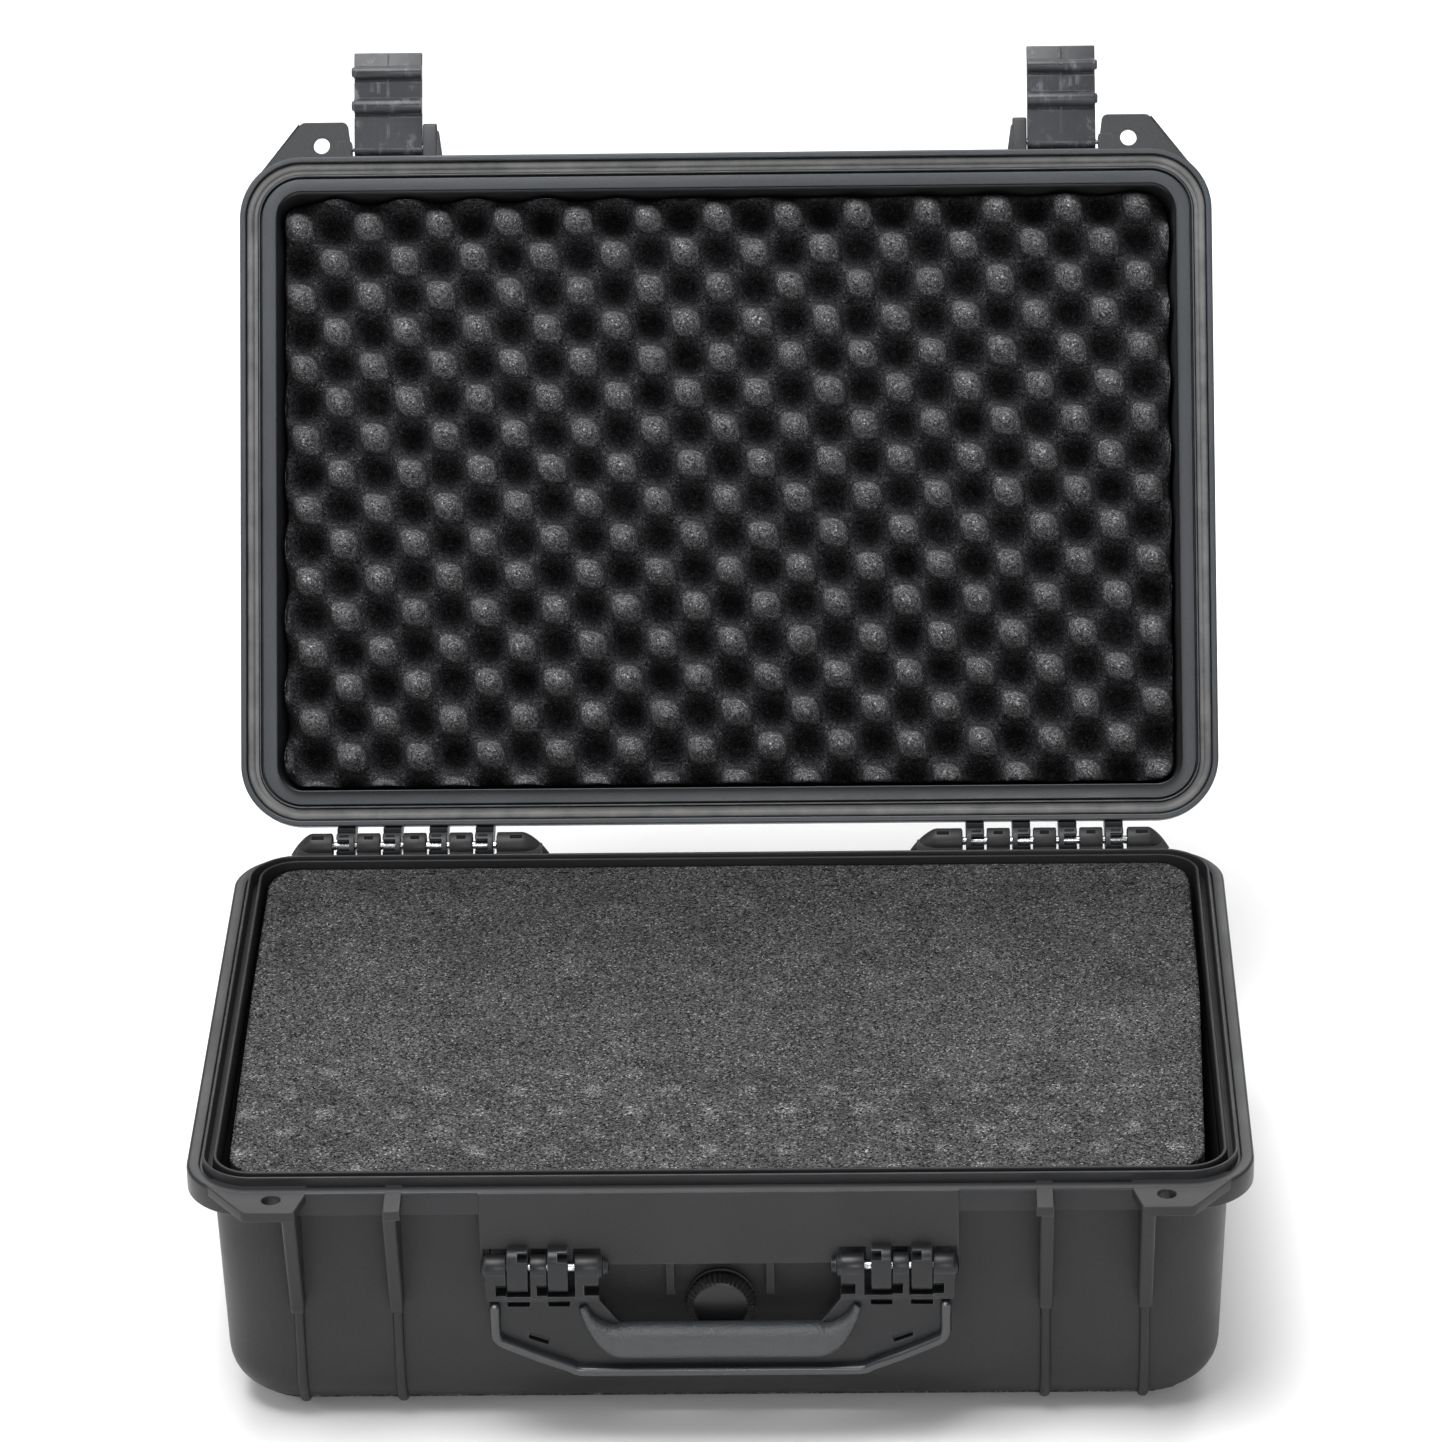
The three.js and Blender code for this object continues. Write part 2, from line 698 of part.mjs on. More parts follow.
const latch = latchBody();

// ---- Pins ----
const hingePin = rodX(HINGE_PIN_R, 91.2, 206, HINGE_Y, PART_Z, 12);
const handlePin = rodX(HANDLE.pin, 57.2, 99.8, HANDLE.y, HANDLE.z, 12);
const latchPin = rodX(LATCH.pin, 138.2, 185.5, LATCH.y, lidZ(LATCH.dz), 12);

// ---- Materials and meshes ----
const shade = (hex, roughness, metalness = 0) => {
  return new THREE.MeshStandardMaterial({ color: hex, roughness, metalness });
};
const SHELL = [0x434346, 0.62];
const FOAM = [0x3a3a3b, 0.98];
const STEEL = [0xb9bbbe, 0.3, 1];

function meshOf(name, made, look) {
  const m = made.getMesh();
  const g = new THREE.BufferGeometry();
  const stride = m.numProp;
  const xyz = new Float32Array((m.vertProperties.length / stride) * 3);
  for (let i = 0; i < xyz.length / 3; i += 1) {
    xyz[3 * i] = m.vertProperties[stride * i];
    xyz[3 * i + 1] = m.vertProperties[stride * i + 1];
    xyz[3 * i + 2] = m.vertProperties[stride * i + 2];
  }
  g.setAttribute("position", new THREE.BufferAttribute(xyz, 3));
  g.setIndex(new THREE.BufferAttribute(new Uint32Array(m.triVerts), 1));
  const flat = g.toNonIndexed();
  flat.computeVertexNormals();
  const mesh = new THREE.Mesh(flat, shade(...look));
  mesh.name = name;
  return mesh;
}

const equipmentCase = new THREE.Group();
equipmentCase.name = "equipment_case";
const lidGroup = new THREE.Group();
lidGroup.name = "lid";
// the lid turns back about the hinge pins
lidGroup.matrixAutoUpdate = false;
lidGroup.matrix
  .makeTranslation(0, HINGE_Y, PART_Z)
  .multiply(new THREE.Matrix4().makeRotationX((-LID_OPEN_DEG * Math.PI) / 180))
  .multiply(new THREE.Matrix4().makeTranslation(0, -HINGE_Y, -PART_Z));

equipmentCase.add(
  meshOf("base_shell", baseShell, SHELL),
  meshOf("base_foam_pad", foamPad, FOAM),
  meshOf("base_foam_lower", foamLower, FOAM),
  meshOf("base_foam_pluck", foamUpper, FOAM),
  meshOf("hinge_pin_right", hingePin, STEEL),
  meshOf("hinge_pin_left", mirrorX(hingePin), STEEL),
  meshOf("handle_pin_right", handlePin, STEEL),
  meshOf("handle_pin_left", mirrorX(handlePin), STEEL),
  meshOf("valve_bushing", bushing, [0x2c2c2e, 0.6]),
  meshOf("valve_nut", nut, [0x2c2c2e, 0.6]),
  meshOf("valve_membrane", membrane, [0xd8d8d4, 0.8]),
  meshOf("knob_seal", knobSeal, [0x1b1b1c, 0.7]),
  meshOf("purge_knob", knob, [0x303033, 0.5]),
  meshOf("carry_handle", handle, [0x4a4b4e, 0.55]),
);
lidGroup.add(
  meshOf("lid_shell", lidShell, SHELL),
  meshOf("lid_gasket", gasket, [0x6e7071, 0.7]),
  meshOf("lid_foam", lidFoam, FOAM),
  meshOf("latch_right", latch, [0x46464a, 0.5]),
  meshOf("latch_left", mirrorX(latch), [0x46464a, 0.5]),
  meshOf("latch_pin_right", latchPin, STEEL),
  meshOf("latch_pin_left", mirrorX(latchPin), STEEL),
);
equipmentCase.add(lidGroup);

export default equipmentCase;
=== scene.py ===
"""A hard equipment case with its lid open: moulded shell, foam, latches, handle and purge valve.

Sizes are in millimetres and are scaled by MM where a mesh or a material is made; the camera's and
the lights' are in metres. The lid's pieces are drawn closed and turned back about the hinge pins.
Paired pieces are drawn for the right-hand side and mirrored in the plane x = 0.
"""
import json
import math

import bpy
import numpy as np
from mathutils import Matrix, Vector, noise


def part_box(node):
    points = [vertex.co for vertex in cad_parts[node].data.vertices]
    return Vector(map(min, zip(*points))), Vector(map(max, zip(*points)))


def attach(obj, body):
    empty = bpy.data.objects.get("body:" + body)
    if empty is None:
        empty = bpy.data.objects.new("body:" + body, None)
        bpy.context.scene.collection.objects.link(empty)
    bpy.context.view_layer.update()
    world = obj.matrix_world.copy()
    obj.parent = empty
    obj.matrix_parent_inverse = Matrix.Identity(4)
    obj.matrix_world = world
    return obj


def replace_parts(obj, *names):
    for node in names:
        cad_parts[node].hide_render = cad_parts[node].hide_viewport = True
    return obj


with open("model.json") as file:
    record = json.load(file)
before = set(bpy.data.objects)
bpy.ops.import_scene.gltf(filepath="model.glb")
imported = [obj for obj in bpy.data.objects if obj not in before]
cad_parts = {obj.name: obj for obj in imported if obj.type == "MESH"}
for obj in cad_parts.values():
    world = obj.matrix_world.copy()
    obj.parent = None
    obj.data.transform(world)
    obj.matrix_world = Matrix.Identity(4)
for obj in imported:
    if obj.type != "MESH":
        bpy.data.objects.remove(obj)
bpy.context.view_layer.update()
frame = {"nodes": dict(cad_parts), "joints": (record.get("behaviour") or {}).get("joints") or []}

# ---- driving dimensions
MM = 0.001
JOINTS = {j["name"]: j for j in frame["joints"]}
HINGE_Y = JOINTS["lid_hinge"]["pos_m"][1] / MM
PART_Z = JOINTS["lid_hinge"]["pos_m"][2] / MM
LID_ANGLE = -min(JOINTS["lid_hinge"]["range_deg"])
HANDLE_Y = JOINTS["handle_hinge"]["pos_m"][1] / MM
HANDLE_Z = JOINTS["handle_hinge"]["pos_m"][2] / MM
VALVE_Z = JOINTS["knob_turn"]["pos_m"][2] / MM
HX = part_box("base_shell")[1].x / MM
HY = HINGE_Y - 9.7
SIDES = ("right", "left")

# the base's tub and its flange
SKIRT = 11.5
WALL_TOP = PART_Z - SKIRT
FLANGE_R = 30
BODY_INSET = 12
SIDE_INSET = 10.5
DRAFT = (4, 3)
WALL = 4
BODY_R = 28
FILLET = 25
RIB_X = (143.2, 187)
RIB_W = 4.5
TAB_LOW = PART_Z - 5
TAB_TOP = PART_Z - 0.1
TAB_FRONT = -179
PADLOCK = (195.2, -167.7, 4)

# the rear hinges: the lid's fingers between the base's knuckles and end caps
FINGER_X = (117.8, 140, 162.2, 184.4)
FINGER_W = 8.7
KNUCKLE_R = 6.2
BASE_KNUCKLES = ((123.35, 134.45), (145.55, 156.65), (167.75, 178.85))
INNER_CAP = (86.8, 111.8)
OUTER_CAP = (190.5, 210.8)
CAP_NOSE = 3
CAP_SIDES = 48

# the carry handle, its knuckles between the base's own, and the apron over them
HANDLE_KNUCKLES = ((93.6, 102.9), (75.7, 83.0), (53.0, 63.4))
FIXED_KNUCKLES = ((83.9, 93.2), (66.3, 75.3))
APRON_FRONT = -163.3
APRON_LOW = 86.5
WALL_FRONT = -148

# the latches, each on its pin in the lid
LATCH_X = 162.9
LATCH_W = 33
LATCH_Y = -166.5
LATCH_Z = PART_Z + 5

# the lid's shell and lining
LID_TOP = PART_Z + 51
LID_R = 24
LID_FILLET = 11
LINING_R = 12
LINING_FILLET = 6
LINING_HALF = (215, 143.3)
LINING_MOUTH = (217.3, 145.6)

# the foam: egg-crate waves are (share, pitch, direction in degrees, start in radians)
CREST_Z = PART_Z + 4.6
CREST_DEEP = 24
EGG_WAVES = ((0.56, 24.06, -45.8, 0.88), (0.44, 24.3, 43.2, -0.845))
DIMPLE_PITCH = (34.4, 35.7)
DIMPLE_AT = (5, 89.5)
PLUCK_PITCH = 15.8
FOAM_CELLS_PER_MM = 1.3
FOAM_BUMP = 0.5

# the floor's half width, and its gap below the case
FLOOR_HALF = 4000
FLOOR_GAP = 0.2

# the camera and the lights, in metres and degrees; a light is (name, place, size, watts)
EYE = (0.0684, -2.7647, 1.6150)
YAW, PITCH, ROLL = 1.392, 25.906, -1.111
SENSOR, LENS = 36, 171.35
AIM = Vector((0, 0.1, 0.15))
LIGHTS = (
    ("key", (-0.4, -0.35, 2.6), 1.7, 78),
    ("behind", (0.2, 2.6, 2.4), 3.0, 90),
    ("front", (0.35, -3.2, 1.35), 0.9, 30),
    ("left", (-2.4, -0.8, 1.3), 1.2, 9),
)
WORLD_STRENGTH = 0.3

OPEN_LID = (
    Matrix.Translation((0, HINGE_Y * MM, PART_Z * MM))
    @ Matrix.Rotation(math.radians(-LID_ANGLE), 4, "X")
    @ Matrix.Translation((0, -HINGE_Y * MM, -PART_Z * MM))
)


# ---- mesh helpers
def placed(name, data):
    """A new object in the scene."""
    obj = bpy.data.objects.new(name, data)
    bpy.context.scene.collection.objects.link(obj)
    return obj


def add(name, mesh, material, body, opened=False, sharp=38):
    """A piece with its material, on its body; an opened one is turned back with the lid."""
    for p in mesh.polygons:
        p.use_smooth = True
    mesh.set_sharp_from_angle(angle=math.radians(sharp))
    mesh.materials.clear()
    mesh.materials.append(material)
    if opened:
        mesh.transform(OPEN_LID)
    mesh.update()
    obj = placed(name, mesh)
    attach(obj, body)
    return obj


def mesh_of(points, faces):
    """A mesh from points in millimetres."""
    mesh = bpy.data.meshes.new("piece")
    mesh.from_pydata([tuple(c * MM for c in p) for p in points], [], faces)
    mesh.validate()
    mesh.update()
    return mesh


def merge(meshes):
    """One mesh out of several."""
    points, faces, start = [], [], 0
    for m in meshes:
        points += [tuple(v.co) for v in m.vertices]
        faces += [[i + start for i in p.vertices] for p in m.polygons]
        start += len(m.vertices)
        bpy.data.meshes.remove(m)
    mesh = bpy.data.meshes.new("joined")
    mesh.from_pydata(points, [], faces)
    mesh.update()
    return mesh


def mirrored(mesh):
    """A copy mirrored in the plane x = 0, with its faces still turned outwards."""
    other = mesh.copy()
    other.transform(Matrix.Scale(-1, 4, (1, 0, 0)))
    other.flip_normals()
    return other


def both(mesh):
    """A right-hand mesh together with its mirrored copy."""
    return merge([mesh, mirrored(mesh)])


def evaluated_mesh(obj):
    """A mesh of the object as its curve settings and modifiers make it."""
    return bpy.data.meshes.new_from_object(obj.evaluated_get(bpy.context.evaluated_depsgraph_get()))


def slab(outline, low, high, axis="z", holes=(), bevel=0.5, rings=3):
    """A plate with rounded edges. outline is (x, y), (y, z) for axis x, or (x, z) for axis y."""
    curve = bpy.data.curves.new("slab", "CURVE")
    curve.dimensions = "2D"
    curve.fill_mode = "BOTH"
    curve.extrude = ((high - low) / 2 - bevel) * MM
    curve.bevel_depth = bevel * MM
    curve.bevel_resolution = rings
    curve.offset = -bevel * MM
    for loop in (outline, *holes):
        spline = curve.splines.new("POLY")
        spline.points.add(len(loop) - 1)
        for point, (a, b) in zip(spline.points, loop):
            point.co = (a * MM, b * MM, 0, 1)
        spline.use_cyclic_u = True
    holder = placed("slab", curve)
    mesh = evaluated_mesh(holder)
    bpy.data.objects.remove(holder)
    bpy.data.curves.remove(curve)
    mesh.transform(Matrix.Translation((0, 0, (low + high) / 2 * MM)))
    if axis == "x":
        mesh.transform(Matrix(((0, 0, 1, 0), (1, 0, 0, 0), (0, 1, 0, 0), (0, 0, 0, 1))))
    if axis == "y":
        mesh.transform(Matrix(((1, 0, 0, 0), (0, 0, 1, 0), (0, 1, 0, 0), (0, 0, 0, 1))))
        mesh.flip_normals()
    return mesh


def block(x0, x1, y0, y1, z0, z1, bevel=0.5):
    """A box with rounded edges."""
    return slab([(x0, y0), (x1, y0), (x1, y1), (x0, y1)], z0, z1, bevel=bevel)


def carve(mesh, cutters):
    """mesh with the cutters taken out of it."""
    body = placed("body", mesh)
    tools = [placed("tool", cutter) for cutter in cutters]
    for tool in tools:
        mod = body.modifiers.new("cut", "BOOLEAN")
        mod.object = tool
        mod.solver = "EXACT"
    made = evaluated_mesh(body)
    for o in (body, *tools):
        bpy.data.objects.remove(o)
    return made


def arc(cx, cy, r, start, end, steps=10):
    """Points on an arc about (cx, cy), from start to end in degrees."""
    return [
        (cx + r * math.cos(math.radians(a)), cy + r * math.sin(math.radians(a)))
        for a in np.linspace(start, end, steps + 1)
    ]


def rounded_rect(hx, hy, r, steps=14):
    """The outline of a rectangle with round corners, from its half sizes."""
    points = []
    for k, (sx, sy) in enumerate(((1, 1), (-1, 1), (-1, -1), (1, -1))):
        points += arc(sx * (hx - r), sy * (hy - r), r, 90 * k, 90 * k + 90, steps)
    return points


def band(a, b, n):
    """The faces between two rings of n points that start at a and at b."""
    return [(a + i, a + (i + 1) % n, b + (i + 1) % n, b + i) for i in range(n)]


def tube(points, n):
    """A body through rings of n points, with both ends closed."""
    last = len(points) - n
    faces = [face for k in range(0, last, n) for face in band(k, k + n, n)]
    faces.append(tuple(range(n - 1, -1, -1)))
    faces.append(tuple(range(last, last + n)))
    mesh = mesh_of(points, faces)
    fix_normals(mesh)
    return mesh


def loft(sections, closed=False, steps=14):
    """A skin through rounded rectangles (half x, half y, corner radius, z), closed on itself if asked."""
    rings = [[(x, y, z) for x, y in rounded_rect(hx, hy, r, steps)] for hx, hy, r, z in sections]
    n = len(rings[0])
    points = [p for ring in rings for p in ring]
    faces = []
    for k in range(len(rings) if closed else len(rings) - 1):
        faces += band(k * n, (k + 1) % len(rings) * n, n)
    return mesh_of(points, faces)


def sheet(section, up):
    """One flat face that fills a section of a loft, looking up or down."""
    hx, hy, r, z = section
    ring = [(x, y, z) for x, y in rounded_rect(hx, hy, r)]
    face = range(len(ring))
    return mesh_of(ring, [tuple(face if up else reversed(face))])


def hollow(outer, inner, end):
    """An outer skin and a lining, each closed by a flat face at the same end: 0 or -1."""
    skin, lining = loft(outer), loft(inner)
    lining.flip_normals()
    return merge([skin, lining, sheet(outer[end], end < 0), sheet(inner[end], end == 0)])


def eased(profile, steps=3):
    """A closed profile of (a, b, radius) with each corner rounded."""
    made = []
    count = len(profile)
    for i, (a, b, r) in enumerate(profile):
        here = Vector((a, b))
        before = Vector(profile[i - 1][:2]) - here
        after = Vector(profile[(i + 1) % count][:2]) - here
        r = min(r, 0.45 * before.length, 0.45 * after.length)
        if r <= 0:
            made.append((a, b))
            continue
        p, q = here + before.normalized() * r, here + after.normalized() * r
        for t in np.linspace(0, 1, steps + 1):
            made.append(tuple(p * (1 - t) ** 2 + here * 2 * t * (1 - t) + q * t * t))
    return made


def rim_ring(profile):
    """A closed profile of (inset, z, edge radius) carried round the flange's outline."""
    sections = [(HX - inset, HY - inset, max(FLANGE_R - inset, 12), z) for inset, z in eased(profile)]
    return loft(sections, closed=True, steps=20)


def rod(r, x0, x1, y, z, sides=40, ease=0.5):
    """A round bar along x with eased ends."""
    stations = [(x0, r - ease), (x0 + ease * 0.3, r - ease * 0.3), (x0 + ease, r)]
    stations += [(x1 - ease, r), (x1 - ease * 0.3, r - ease * 0.3), (x1, r - ease)]
    return turned([(x - x0, radius) for x, radius in stations], (x0, y, z), "x", sides)


def turned(profile, at, axis="y", sides=48, wave=None):
    """A turned body: profile is (distance along the axis, radius); its ends are closed."""
    points = []
    for k, (along, r) in enumerate(profile):
        for i in range(sides):
            t = 2 * math.pi * i / sides
            q = r + (wave(k, t) if wave else 0)
            u, v = q * math.cos(t), q * math.sin(t)
            local = (along, u, v) if axis == "x" else (v, along, u)
            points.append(tuple(a + b for a, b in zip(local, at)))
    return tube(points, sides)


def fix_normals(mesh):
    """Turns the faces outwards, by the sign of the enclosed volume."""
    mesh.calc_loop_triangles()
    co = np.array([v.co for v in mesh.vertices])
    tri = np.array([t.vertices for t in mesh.loop_triangles])
    a, b, c = co[tri[:, 0]], co[tri[:, 1]], co[tri[:, 2]]
    if np.einsum("ij,ij->", a, np.cross(b, c)) < 0:
        mesh.flip_normals()


def smooth_path(knots, per_span=8):
    """Points on a smooth curve through the knots; a knot is any list of numbers."""
    k = np.array(knots, float)
    k = np.vstack([2 * k[0] - k[1], k, 2 * k[-1] - k[-2]])
    made = []
    for i in range(1, len(k) - 2):
        for t in np.linspace(0, 1, per_span, endpoint=False):
            a, b, c, d = k[i - 1], k[i], k[i + 1], k[i + 2]
            square = (2 * a - 5 * b + 4 * c - d) * t**2
            cube = (3 * b - a - 3 * c + d) * t**3
            made.append(0.5 * (2 * b + (c - a) * t + square + cube))
    made.append(k[-2])
    return np.array(made)


def bar(path, sides=28, power=0.8):
    """A bar in the x-z plane. Each path row is x, z, half width in the plane, middle y, half depth."""
    path = np.array(path, float)
    tangent = np.gradient(path[:, :2], axis=0)
    tangent /= np.linalg.norm(tangent, axis=1)[:, None]
    points = []
    for (x, z, half, y, deep), (tx, tz) in zip(path, tangent):
        for i in range(sides):
            t = 2 * math.pi * (i + 0.5) / sides
            c, s = math.cos(t), math.sin(t)
            u = half * math.copysign(abs(c) ** power, c)
            v = deep * math.copysign(abs(s) ** power, s)
            points.append((x - tz * u, y + v, z + tx * u))
    return tube(points, sides)


# ---- materials
class Nodes:
    """A short way to write a material's nodes."""

    def __init__(self, name, rough, specular=0.5, metallic=0.0):
        self.material = bpy.data.materials.new(name)
        self.material.use_nodes = True
        self.tree = self.material.node_tree
        self.shader = self.tree.nodes["Principled BSDF"]
        self.shader.inputs["Roughness"].default_value = rough
        self.shader.inputs["Specular IOR Level"].default_value = specular
        self.shader.inputs["Metallic"].default_value = metallic
        self.place = self.node("ShaderNodeTexCoord").outputs["Object"]

    def node(self, kind, **settings):
        made = self.tree.nodes.new(kind)
        for key, value in settings.items():
            setattr(made, key, value)
        return made

    def link(self, a, b):
        self.tree.links.new(a, b)

    def stretched(self, scale):
        mapping = self.node("ShaderNodeMapping")
        mapping.inputs["Scale"].default_value = scale
        self.link(self.place, mapping.inputs["Vector"])
        return mapping.outputs["Vector"]

    def noise(self, per_mm, detail=3.0, rough=0.5, vector=None):
        made = self.node("ShaderNodeTexNoise")
        made.inputs["Scale"].default_value = per_mm / MM
        made.inputs["Detail"].default_value = detail
        made.inputs["Roughness"].default_value = rough
        self.link(vector or self.place, made.inputs["Vector"])
        return made.outputs["Fac"]

    def spread(self, value, low, high, out_low=0.0, out_high=1.0):
        made = self.node("ShaderNodeMapRange")
        made.clamp = True
        limits = {"From Min": low, "From Max": high, "To Min": out_low, "To Max": out_high}
        for key, number in limits.items():
            made.inputs[key].default_value = number
        self.link(value, made.inputs["Value"])
        return made.outputs["Result"]

    def math(self, kind, a, b):
        made = self.node("ShaderNodeMath", operation=kind)
        for socket, value in zip(made.inputs, (a, b)):
            if isinstance(value, (int, float)):
                socket.default_value = value
            else:
                self.link(value, socket)
        return made.outputs["Value"]

    def mix(self, factor, a, b):
        made = self.node("ShaderNodeMix", data_type="RGBA")
        self.link(factor, made.inputs["Factor"])
        for key, value in (("A", a), ("B", b)):
            socket = next(s for s in made.inputs if s.name == key and s.type == "RGBA")
            if isinstance(value, tuple):
                socket.default_value = (*value, 1)
            else:
                self.link(value, socket)
        return next(s for s in made.outputs if s.type == "RGBA")

    def bump(self, height, depth_mm, before=None):
        made = self.node("ShaderNodeBump")
        made.inputs["Strength"].default_value = 1.0
        made.inputs["Distance"].default_value = depth_mm * MM
        self.link(height, made.inputs["Height"])
        if before is not None:
            self.link(before, made.inputs["Normal"])
        return made.outputs["Normal"]

    def edges(self, radius_mm):
        """1 along sharp edges and 0 on flat faces, for wear and a painted highlight along the edges."""
        bevel = self.node("ShaderNodeBevel", samples=4)
        bevel.inputs["Radius"].default_value = radius_mm * MM
        geometry = self.node("ShaderNodeNewGeometry")
        dot = self.node("ShaderNodeVectorMath", operation="DOT_PRODUCT")
        self.link(bevel.outputs["Normal"], dot.inputs[0])
        self.link(geometry.outputs["Normal"], dot.inputs[1])
        return self.spread(dot.outputs["Value"], 0.995, 0.9)

    def set(self, socket, value):
        self.link(value, self.shader.inputs[socket])


def plastic(name, colour, wear_and_highlight_colour, rough, specular, edge_wear_and_highlight=0.5, scratches=0.0, grain=0.06):
    """Moulded plastic: a fine spark-eroded grain, cloudy tone, paler edges that are partly wear and partly
    a painted highlight, and handling scuffs.
    """
    n = Nodes(name, rough, specular)
    cloud = n.spread(n.noise(0.012, 4), 0.35, 0.68)
    speck = n.spread(n.noise(0.9, 3, 0.7), 0.38, 0.72)
    base = n.mix(cloud, tuple(c * 0.8 for c in colour), colour)
    base = n.mix(n.math("MULTIPLY", speck, 0.4), base, tuple(c * 1.6 for c in colour))
    # paler edges: partly wear, partly a painted highlight along them
    edge = n.math("MULTIPLY", n.edges(0.9), n.spread(n.noise(0.09, 4), 0.38, 0.6))
    base = n.mix(n.math("MULTIPLY", edge, edge_wear_and_highlight), base, wear_and_highlight_colour)
    if scratches:
        streaks = n.spread(n.noise(0.22, 5, 0.75, n.stretched((1, 1, 0.35))), 0.52, 0.66)
        patch = n.spread(n.noise(0.06, 2), 0.46, 0.6)
        base = n.mix(n.math("MULTIPLY", n.math("MULTIPLY", streaks, patch), scratches), base, wear_and_highlight_colour)
    n.set("Base Color", base)
    n.set("Roughness", n.spread(n.noise(0.03, 4), 0.3, 0.7, rough - 0.06, rough + 0.08))
    fine = n.bump(n.noise(0.75, 3, 0.7), grain)
    n.set("Normal", n.bump(n.noise(0.02, 2), 0.08, fine))
    return n.material


def foam(name, tones, speck, crest=None, light_and_shade=None):
    """Open-cell foam: each cell has its own tone, a few carry a painted glint and a few are darkened as
    painted shade in open pores.

    tones run from the hollows to the crests, where crest is the surface's height from 0 to 1: painted shade
    darkens the hollows and painted light brightens the crests.
    """
    n = Nodes(name, 0.97, 0.08)
    grain = n.node("ShaderNodeTexVoronoi")
    grain.inputs["Scale"].default_value = FOAM_CELLS_PER_MM / MM
    n.link(n.place, grain.inputs["Vector"])
    parts = n.node("ShaderNodeSeparateColor")
    n.link(grain.outputs["Color"], parts.inputs["Color"])
    drift = n.spread(n.noise(0.03, 4, 0.6), 0.3, 0.72)
    if crest is None:
        tone = n.mix(drift, tones[0], tones[-1])
    else:
        height = crest(n)
        # with a crest: painted shade in the hollows, painted light on the crests
        tone = n.mix(n.spread(height, 0.04, 0.36), tones[0], tones[1])
        tone = n.mix(n.spread(height, 0.5, 0.66), tone, tones[2])
        tone = n.mix(n.math("MULTIPLY", drift, 0.25), tone, tones[1])
    gain = n.spread(parts.outputs["Red"], 0, 1, 1 - speck, 1 + speck)
    # painted glints on a few cells, and painted shade darkening a few cells as open pores
    painted_glint = n.spread(parts.outputs["Green"], 0.9, 0.99, 0, 3.2 * speck)
    pore_shade = n.spread(parts.outputs["Blue"], 0.82, 0.97, 1, 0.35)
    total = n.math("MULTIPLY", n.math("ADD", gain, painted_glint), pore_shade)
    # painted light and shade from the caller, on top of the cells' tones
    if light_and_shade is not None:
        total = n.math("MULTIPLY", total, light_and_shade(n))
    scaled = n.node("ShaderNodeVectorMath", operation="SCALE")
    n.link(tone, scaled.inputs[0])
    n.link(total, scaled.inputs["Scale"])
    n.set("Base Color", scaled.outputs["Vector"])
    fine = n.bump(n.noise(0.8, 3, 0.7), FOAM_BUMP)
    n.set("Normal", n.bump(grain.outputs["Distance"], FOAM_BUMP, fine))
    return n.material


def pluck_light_and_shade(n):
    """Brightness of the base foam, all painted light and shade: a painted sheen on the pressed dimples near
    the front, painted shade in the pluck cuts near the back, and painted shade growing towards the back.
    """
    axes = n.node("ShaderNodeSeparateXYZ")
    n.link(n.place, axes.inputs[0])
    x, y = axes.outputs["X"], axes.outputs["Y"]

    def wave(value, pitch, shift=0.0):
        moved = n.math("ADD", value, shift * MM)
        return n.math("COSINE", n.math("MULTIPLY", moved, 2 * math.pi / (pitch * MM)), 0.0)

    across = wave(x, DIMPLE_PITCH[0], DIMPLE_AT[0])
    along = wave(y, DIMPLE_PITCH[1], DIMPLE_AT[1])
    soft = n.math("MULTIPLY", n.noise(0.25, 3), 0.5)
    dimple = n.spread(n.math("ADD", n.math("MULTIPLY", across, along), soft), 0.7, 1.12, 0, 0.85)
    front = n.spread(y, -30 * MM, -68 * MM)
    uneven = n.spread(n.noise(0.04, 2), 0.35, 0.6, 0.45, 1)
    # a painted sheen on the pressed dimples, near the front
    pale = n.math("MULTIPLY", n.math("MULTIPLY", dimple, front), uneven)
    cut = n.spread(wave(y, PLUCK_PITCH, 3), 0.93, 0.99)
    dash = n.spread(wave(x, PLUCK_PITCH), 0.25, 0.7)
    dash = n.math("MULTIPLY", dash, n.spread(n.noise(0.09, 3), 0.44, 0.56))
    back = n.spread(y, 88 * MM, 118 * MM)
    # painted shade in the pluck cuts, near the back
    cut_shade = n.math("MULTIPLY", n.math("MULTIPLY", cut, dash), n.math("MULTIPLY", back, 0.6))
    # painted shade growing towards the back
    shade = n.math("MULTIPLY", n.spread(y, 0.0, 120 * MM), 0.3)
    return n.math("SUBTRACT", n.math("ADD", pale, 1.06), n.math("ADD", cut_shade, shade))


def lid_crest(n):
    """Height of the lid's foam above its hollows, from 0 to 1, in the turned-back lid; it sets the foam's
    painted shade and painted light.
    """
    row = OPEN_LID.inverted()[2]
    dot = n.node("ShaderNodeVectorMath", operation="DOT_PRODUCT")
    n.link(n.place, dot.inputs[0])
    dot.inputs[1].default_value = row[:3]
    peak = CREST_Z * MM - row[3]
    return n.spread(dot.outputs["Value"], peak, peak + CREST_DEEP * MM, 1, 0)


def rubber(name, colour, pale):
    """A moulded gasket with a powdery bloom and a faint ripple along it."""
    n = Nodes(name, 0.62, 0.4)
    bloom = n.spread(n.noise(0.06, 5, 0.65), 0.35, 0.7)
    n.set("Base Color", n.mix(bloom, colour, pale))
    n.set("Roughness", n.spread(bloom, 0, 1, 0.5, 0.75))
    n.set("Normal", n.bump(n.noise(0.8, 3), 0.06))
    return n.material


